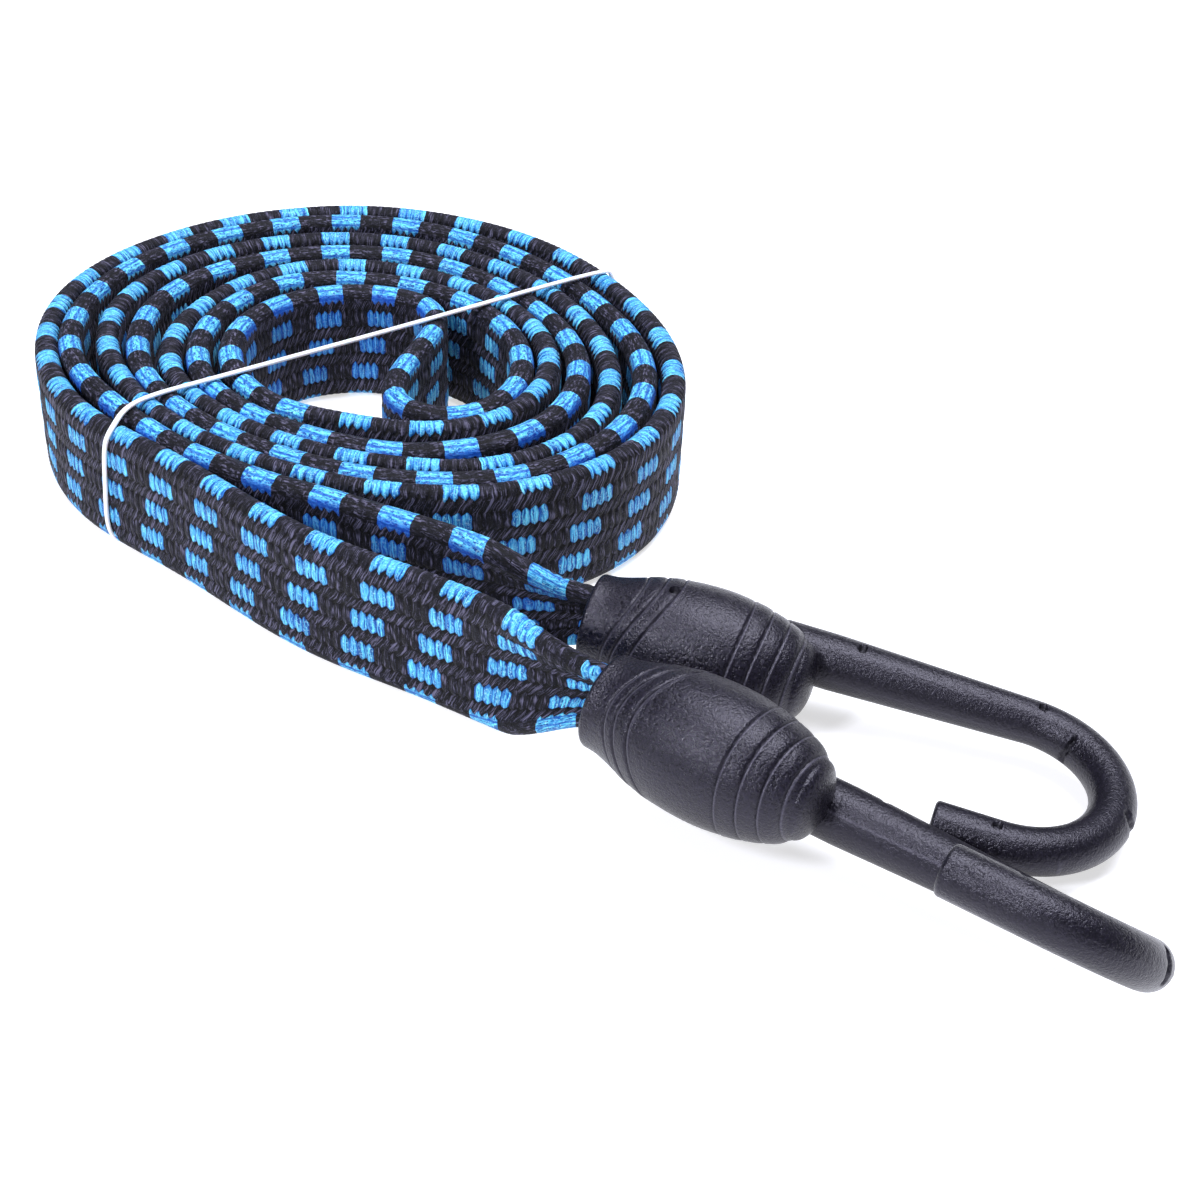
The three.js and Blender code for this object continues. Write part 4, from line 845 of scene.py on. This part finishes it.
def hook_mesh(tag):
    e = ENDS[tag]
    m = 96
    ph = np.arange(m) / m * 2 * math.pi
    s_out = np.linspace(-7.0, HOOK_LEN - 0.55, 390)
    edge = [(HOOK_LEN - 0.55 + 0.55 * math.sin(t), 0.55 * (1 - math.cos(t))) for t in np.linspace(0.15, math.pi / 2, 7)]
    bore_end = HOOK_LEN - 1.6
    st = [(-7.0, 0.0, r) for r in np.linspace(2.4, 2.75, 3)]
    st += [(s, 0.0, None) for s in s_out]
    st += [(s, k, None) for s, k in edge]
    tip_r = 3.02 - 0.55
    st += [(HOOK_LEN + 0.05 * (1 - (r / tip_r) ** 2), 0.0, r) for r in np.linspace(tip_r - 0.3, 0.0, 8)]
    n = len(st)
    Sv = np.array([x[0] for x in st])
    c, nn = hook_line(Sv)
    R = np.array([coat_radius([x[0]])[0] - x[1] if x[2] is None else x[2] for x in st])[:, None] + np.zeros((1, m))
    skin = np.array([x[2] is None for x in st])[:, None] & (Sv[:, None] > 0.5)
    PH = np.broadcast_to(ph[None], (n, m))
    SS = np.broadcast_to(Sv[:, None], (n, m))
    d, wear_and_highlight, shaded_pit = np.zeros((n, m)), np.zeros((n, m)), np.zeros((n, m))
    turn = lambda a, b: np.angle(np.exp(1j * (a - math.radians(b))))
    for s0 in (6.5, 31.0, 70.0):                     # core pin marks, with painted shade in their hollows
        w = np.hypot(SS - s0, turn(PH, 90) * 3.2 / 1.35)
        d -= 0.85 * smooth((0.62 - w) / 0.25)
        shaded_pit += 1.2 * smooth((0.62 - w) / 0.16)
    for s0, mid, half, depth in ((37.0, 170, 52, 0.55), (51.8, 18, 48, 0.5)):   # slots at the bend, with painted shade in them
        lim = smooth((math.radians(half) - np.abs(turn(PH, mid))) / 0.25)
        w = (SS - s0 - 0.25 * np.sin(PH * 3) - 0.10 * np.sin(PH * 11 + 1)) / (0.30 + 0.22 * smooth((np.cos(PH - math.radians(mid + (26 if s0 < 40 else 0))) - 0.55) / 0.45))
        d -= depth * np.exp(-w ** 4) * lim
        shaded_pit += 1.1 * np.exp(-w ** 4) * lim
    lim = smooth((0.45 - np.abs(turn(PH, 0))) / 0.2)  # faint line across the outside, paler: partly wear, partly a painted highlight
    if tag == "rear":
        d += 0.05 * np.exp(-((SS - 62.8) / 0.16) ** 2) * lim
        wear_and_highlight += 0.45 * np.exp(-((SS - 62.8) / 0.18) ** 2) * lim
    for side in (4, 184):                            # parting line of the mould, paler along the shank: partly wear, partly a painted highlight
        g = turn(PH, side) * 3.1
        k = 1.0 if tag == "front" else 0.35
        d += 0.04 * k * np.exp(-(g / 0.25) ** 2)
        wear_and_highlight += 0.45 * k * np.exp(-(g / 0.13) ** 2) * (SS < 33) * (0.75 + 0.25 * np.sin(SS * 1.7))
    R = np.where(skin, R + d, R)
    X, Y, Z, N = e["x"], e["y"], e["z"], e["nose"]
    loc = c[:, None] + R[:, :, None] * (np.cos(ph)[None, :, None] * nn[:, None] + np.sin(ph)[None, :, None] * np.array([0, 0, 1.0]))
    pts = N + loc[..., :1] * X + loc[..., 1:2] * Y + loc[..., 2:] * Z
    # the bore that the wire lies in
    sb = np.linspace(-7.0, bore_end, 96)
    cb, nb = hook_line(sb)
    lb = cb[:, None] + 2.4 * (np.cos(ph)[None, :, None] * nb[:, None] + np.sin(ph)[None, :, None] * np.array([0, 0, 1.0]))
    end = cb[-1][None, None] + 0 * lb[:1]
    lb = np.concatenate([lb, end])[::-1]
    pb = N + lb[..., :1] * X + lb[..., 1:2] * Y + lb[..., 2:] * Z
    full = np.concatenate([pb, pts])
    zero = np.zeros((len(pb), m))
    ob = grid_object("hook_" + tag, full)
    attribute(ob, "wear_and_highlight", np.concatenate([zero, np.where(skin, wear_and_highlight, 0)]))
    attribute(ob, "shaded_pit", np.concatenate([zero, np.where(skin, shaded_pit, 0)]))
    return dress(weld(ob), COAT)


# ------------------------------------------------------------------ the spaces inside a head
def local_box(tag, lo, hi):
    e = ENDS[tag]
    me = bpy.data.meshes.new("cut")
    bm = bmesh.new()
    bmesh.ops.create_cube(bm, size=1.0)
    for v in bm.verts:
        q = [lo[i] + (v.co[i] + 0.5) * (hi[i] - lo[i]) for i in range(3)]
        v.co = Vector((e["nose"] + q[0] * e["x"] + q[1] * e["y"] + q[2] * e["z"]) * MM)
    bmesh.ops.recalc_face_normals(bm, faces=bm.faces)
    bm.to_mesh(me)
    bm.free()
    ob = bpy.data.objects.new("cut", me)
    scene.collection.objects.link(ob)
    return ob


def local_rod(tag, pts, rad, m=32):
    e = ENDS[tag]
    pts = np.array(pts, float)
    t = np.gradient(pts, axis=0)
    t /= np.linalg.norm(t, axis=1)[:, None]
    nrm = np.stack([-t[:, 1], t[:, 0], 0 * t[:, 0]], 1)
    ph = np.arange(m) / m * 2 * math.pi
    r = np.broadcast_to(np.asarray(rad, float), (len(pts),))[:, None, None]
    ring = pts[:, None] + r * (np.cos(ph)[None, :, None] * nrm[:, None] + np.sin(ph)[None, :, None] * np.array([0, 0, 1.0]))
    ring = np.concatenate([pts[:1, None] + 0 * ring[:1], ring, pts[-1:, None] + 0 * ring[:1]])
    w = e["nose"] + ring[..., :1] * e["x"] + ring[..., 1:2] * e["y"] + ring[..., 2:] * e["z"]
    return weld(grid_object("cut", w))


def cut(ob, tools):
    for t in tools:
        mod = ob.modifiers.new("cut", "BOOLEAN")
        mod.operation, mod.solver, mod.object = "DIFFERENCE", "EXACT", t
    dep = bpy.context.evaluated_depsgraph_get()
    me = bpy.data.meshes.new_from_object(ob.evaluated_get(dep))
    ob.modifiers.clear()
    old = ob.data
    ob.data = me
    me.name = ob.name
    bpy.data.meshes.remove(old)
    for t in tools:
        bpy.data.objects.remove(t, do_unlink=True)
    return ob


def hollow_head(tag):
    ob = head_mesh(tag)
    s = np.linspace(-7.15, 4.0, 30)
    c, _ = hook_line(s)
    foot = [(-11.6, -4.95, 0), (-11.6, -2.0, 0), (-11.6, 0.5, 0), (-11.6, 2.0, 0)]
    foot += [(-11.6 + 2.6 * (1 - math.cos(a)), 2.0 + 2.6 * math.sin(a), 0) for a in np.linspace(0.3, math.pi / 2, 5)]
    foot += [(-8.6, 4.6, 0), (-7.6, 4.75, 0), (-6.8, 5.05, 0)]
    box = local_box(tag, (-24.9, -1.9 - 4.0, -1.9), (-13.2, -1.9 + 4.0, 1.9))
    loop = local_rod(tag, [(-11.6, -1.9 - 4.0 + 8.0 * i / 6, 0) for i in range(7)], 4.3)
    clamp = local_box(tag, (-22.95, -1.9 - 5.2, -3.0), (-17.2, -1.9 + 5.2, 3.0))
    return cut(ob, [box, loop, clamp, local_rod(tag, foot, 2.45), local_rod(tag, c, coat_radius(s) + 0.12, 64)])


heads = {t: hollow_head(t) for t in ENDS}
hooks = {t: hook_mesh(t) for t in ENDS}
for t in ENDS:
    h, k = heads[t], hooks[t]
    for ob in (h, k):
        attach(ob, t + "_end")
    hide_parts("barrel_head_" + t)
    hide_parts("hook_coating_" + t)
    dress(frame["nodes"]["hook_wire_" + t], WIRE)
    dress(frame["nodes"]["crimp_ferrule_" + t], CRIMP)
    dress(frame["nodes"]["folded_strap_end_" + t], INNER)

# ------------------------------------------------------------------ strap pieces, cut where they stay rigid
joints = {j["name"]: j for j in frame["joints"]}


def at(s):
    p = spline_at(route_s, ROUTE, route_m, np.array([s]))[0]
    return p


def near(p, lo, hi):
    g = np.linspace(lo, hi, 2001)
    q = spline_at(route_s, ROUTE, route_m, g)
    return float(g[np.argmin(np.linalg.norm(q - np.asarray(p)[:2], axis=1))])


pieces = []
for tag in ("front", "rear"):
    front = tag == "front"
    rng = (0, 120) if front else (ROUTE_L - 120, ROUTE_L)
    hinge = near(np.array(joints[tag + "_swing"]["pos_m"]) * 1000, *rng)
    lo = {"front": (-3.65, -40.9), "rear": (-2.57, -29.1)}[tag]
    split = near(lo, *rng)
    sgn = -1 if front else 1                      # towards the head
    end = 0.0 if front else ROUTE_L
    dist = abs(end - split)
    cuts = {
        "swing": hinge + sgn * 0.42 * abs(split - hinge),
        "stretch": split + sgn * 0.45 * dist,
        "out": hinge - sgn * 14,
    }
    ends = [cuts["out"], cuts["swing"], cuts["stretch"], end]
    names = [("bend", "coil_bundle", tag + "_tail_root"), ("stretch", tag + "_tail_root", tag + "_tail_tip"), ("neck", tag + "_tail_tip", tag + "_end")]
    for (nm, a, b), s0, s1 in zip(names, ends[:-1], ends[1:]):
        ob = strap_piece("strap_%s_%s" % (tag, nm), min(s0, s1), max(s0, s1))
        dress(ob, WEAVE)
        # points a little inside either end of the piece, at 8% and 92% of its length (80% for the neck)
        za = s0 + (s1 - s0) * 0.08
        zb = s0 + (s1 - s0) * (0.92 if nm != "neck" else 0.80)
        pa, pb = at(za), at(zb)
        pa[0] * MM
        pa[1] * MM
        pb[0] * MM
        pb[1] * MM
        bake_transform(ob)
        pieces.append(ob)
        if nm == "bend":
            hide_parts("strap_sleeve_%s_root" % tag, "latex_core_%s_root" % tag)
        if nm == "stretch":
            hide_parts("strap_sleeve_%s_tip" % tag, "latex_core_%s_tip" % tag)
    ENDS[tag]["cut"] = cuts["out"]
coil = strap_piece("strap_coil", ENDS["front"]["cut"], ENDS["rear"]["cut"])
dress(coil, WEAVE)
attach(coil, "coil_bundle")
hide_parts("wound_strap_coil")

# ------------------------------------------------------------------ tie
TIE_BACK, TIE_FRONT = np.array([-37.262, 50.964]), np.array([-60.374, -42.671])


def tie_mesh():
    """A thin band round the whole bundle: taut over the top edges, down the outside of the front strap, back underneath."""
    knots = [(-36.05, 49.45, 20.15), (-36.4, 48.2, 20.48), (-46.1, 17.0, 20.5), (-53.5, -7.6, 20.5), (-58.7, -24.4, 20.5), (-60.9, -33.6, 20.5),
             (-60.0, -37.8, 20.5), (-58.6, -40.4, 20.42), (-58.15, -41.7, 19.95), (-58.2, -42.4, 19.1), (-58.75, -42.6, 17.3), (-59.3, -42.6, 14.2),
             (-59.65, -42.6, 11.1), (-60.05, -42.6, 7.3), (-60.2, -42.6, 4.2), (-59.95, -42.45, 2.2), (-59.6, -41.9, 0.95), (-59.2, -40.9, 0.42),
             (-58.4, -36.0, 0.36), (-53.5, -7.6, 0.36), (-46.1, 17.0, 0.36), (-36.7, 47.6, 0.36), (-36.2, 49.3, 0.6), (-35.9, 50.15, 1.6),
             (-35.8, 50.4, 5.0), (-35.8, 50.4, 15.0), (-35.85, 50.2, 18.6)]
    pts = np.array(knots + knots[:3], float)
    t = np.r_[0, np.cumsum(np.sqrt(np.linalg.norm(np.diff(pts, axis=0), axis=1)))]
    m2 = natural_spline(t, pts)
    q = np.linspace(t[1], t[len(knots) + 1], 420, endpoint=False)
    c = spline_at(t, pts, m2, q)
    tan = np.roll(c, -1, 0) - np.roll(c, 1, 0)
    tan /= np.linalg.norm(tan, axis=1)[:, None]
    centre = np.array([-48.0, 5.0, 10.0])
    d = TIE_FRONT - TIE_BACK
    side = np.array([-d[1], d[0], 0.0]) / np.linalg.norm(d)
    nrm = np.cross(side[None], tan)
    nrm /= np.linalg.norm(nrm, axis=1)[:, None]
    wide = np.cross(tan, nrm)
    m = 16
    ph = np.arange(m) / m * 2 * math.pi
    cs, sn = np.cos(ph), np.sin(ph)
    wv = 0.42 * np.sign(sn) * np.abs(sn) ** 0.8
    tv = 0.30 * np.sign(cs) * np.abs(cs) ** 0.8
    w = c[:, None] + tv[None, :, None] * nrm[:, None] + wv[None, :, None] * wide[:, None]
    w = np.concatenate([w, w[:1]])
    return weld(grid_object("tie_loop", w))


tie = dress(tie_mesh(), TIE)
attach(tie, "coil_bundle")
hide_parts("bundle_tie")

# ------------------------------------------------------------------ floor and light
bm = bmesh.new()
bmesh.ops.create_grid(bm, x_segments=2, y_segments=2, size=6.0)
me = bpy.data.meshes.new("floor")
bm.to_mesh(me)
bm.free()
floor = bpy.data.objects.new("floor", me)
scene.collection.objects.link(floor)
floor.location.z = -0.0001
FM = Mat("floor_paper")
FM.t.links.new(FM.mix(FM.noise(FM.coord(), 3.0), lin("#c9c9cf"), lin("#cfcfd4")), FM.b.inputs["Base Color"])
FM.b.inputs["Roughness"].default_value = 0.9
FM.b.inputs["Specular IOR Level"].default_value = 0.1
FM.b.inputs["Emission Color"].default_value = (1.0, 0.995, 0.98, 1)
FM.b.inputs["Emission Strength"].default_value = 0.62
dress(floor, FM.m)

world = bpy.data.worlds.new("studio")
world.use_nodes = True
world.node_tree.nodes["Background"].inputs[0].default_value = (0.80, 0.82, 1.0, 1)
world.node_tree.nodes["Background"].inputs[1].default_value = 0.30
scene.world = world


def lamp(name, pos, target, size, power):
    l = bpy.data.lights.new(name, "AREA")
    l.shape, l.size, l.energy = "SQUARE", size, power
    l.color = (0.93, 0.95, 1.0)
    ob = bpy.data.objects.new(name, l)
    scene.collection.objects.link(ob)
    ob.location = pos
    ob.rotation_euler = (Vector(target) - Vector(pos)).to_track_quat("-Z", "Y").to_euler()
    return ob


lamp("key", (-0.16, -0.90, 0.80), (0.02, -0.02, 0), 0.20, 11.0)
lamp("fill", (0.55, -1.05, 0.35), (0, 0, 0), 0.5, 1.5)
lamp("top", (0.05, 0.22, 1.0), (0, 0, 0), 0.7, 17.0)

scene.view_settings.view_transform = "Standard"
scene.view_settings.look = "None"
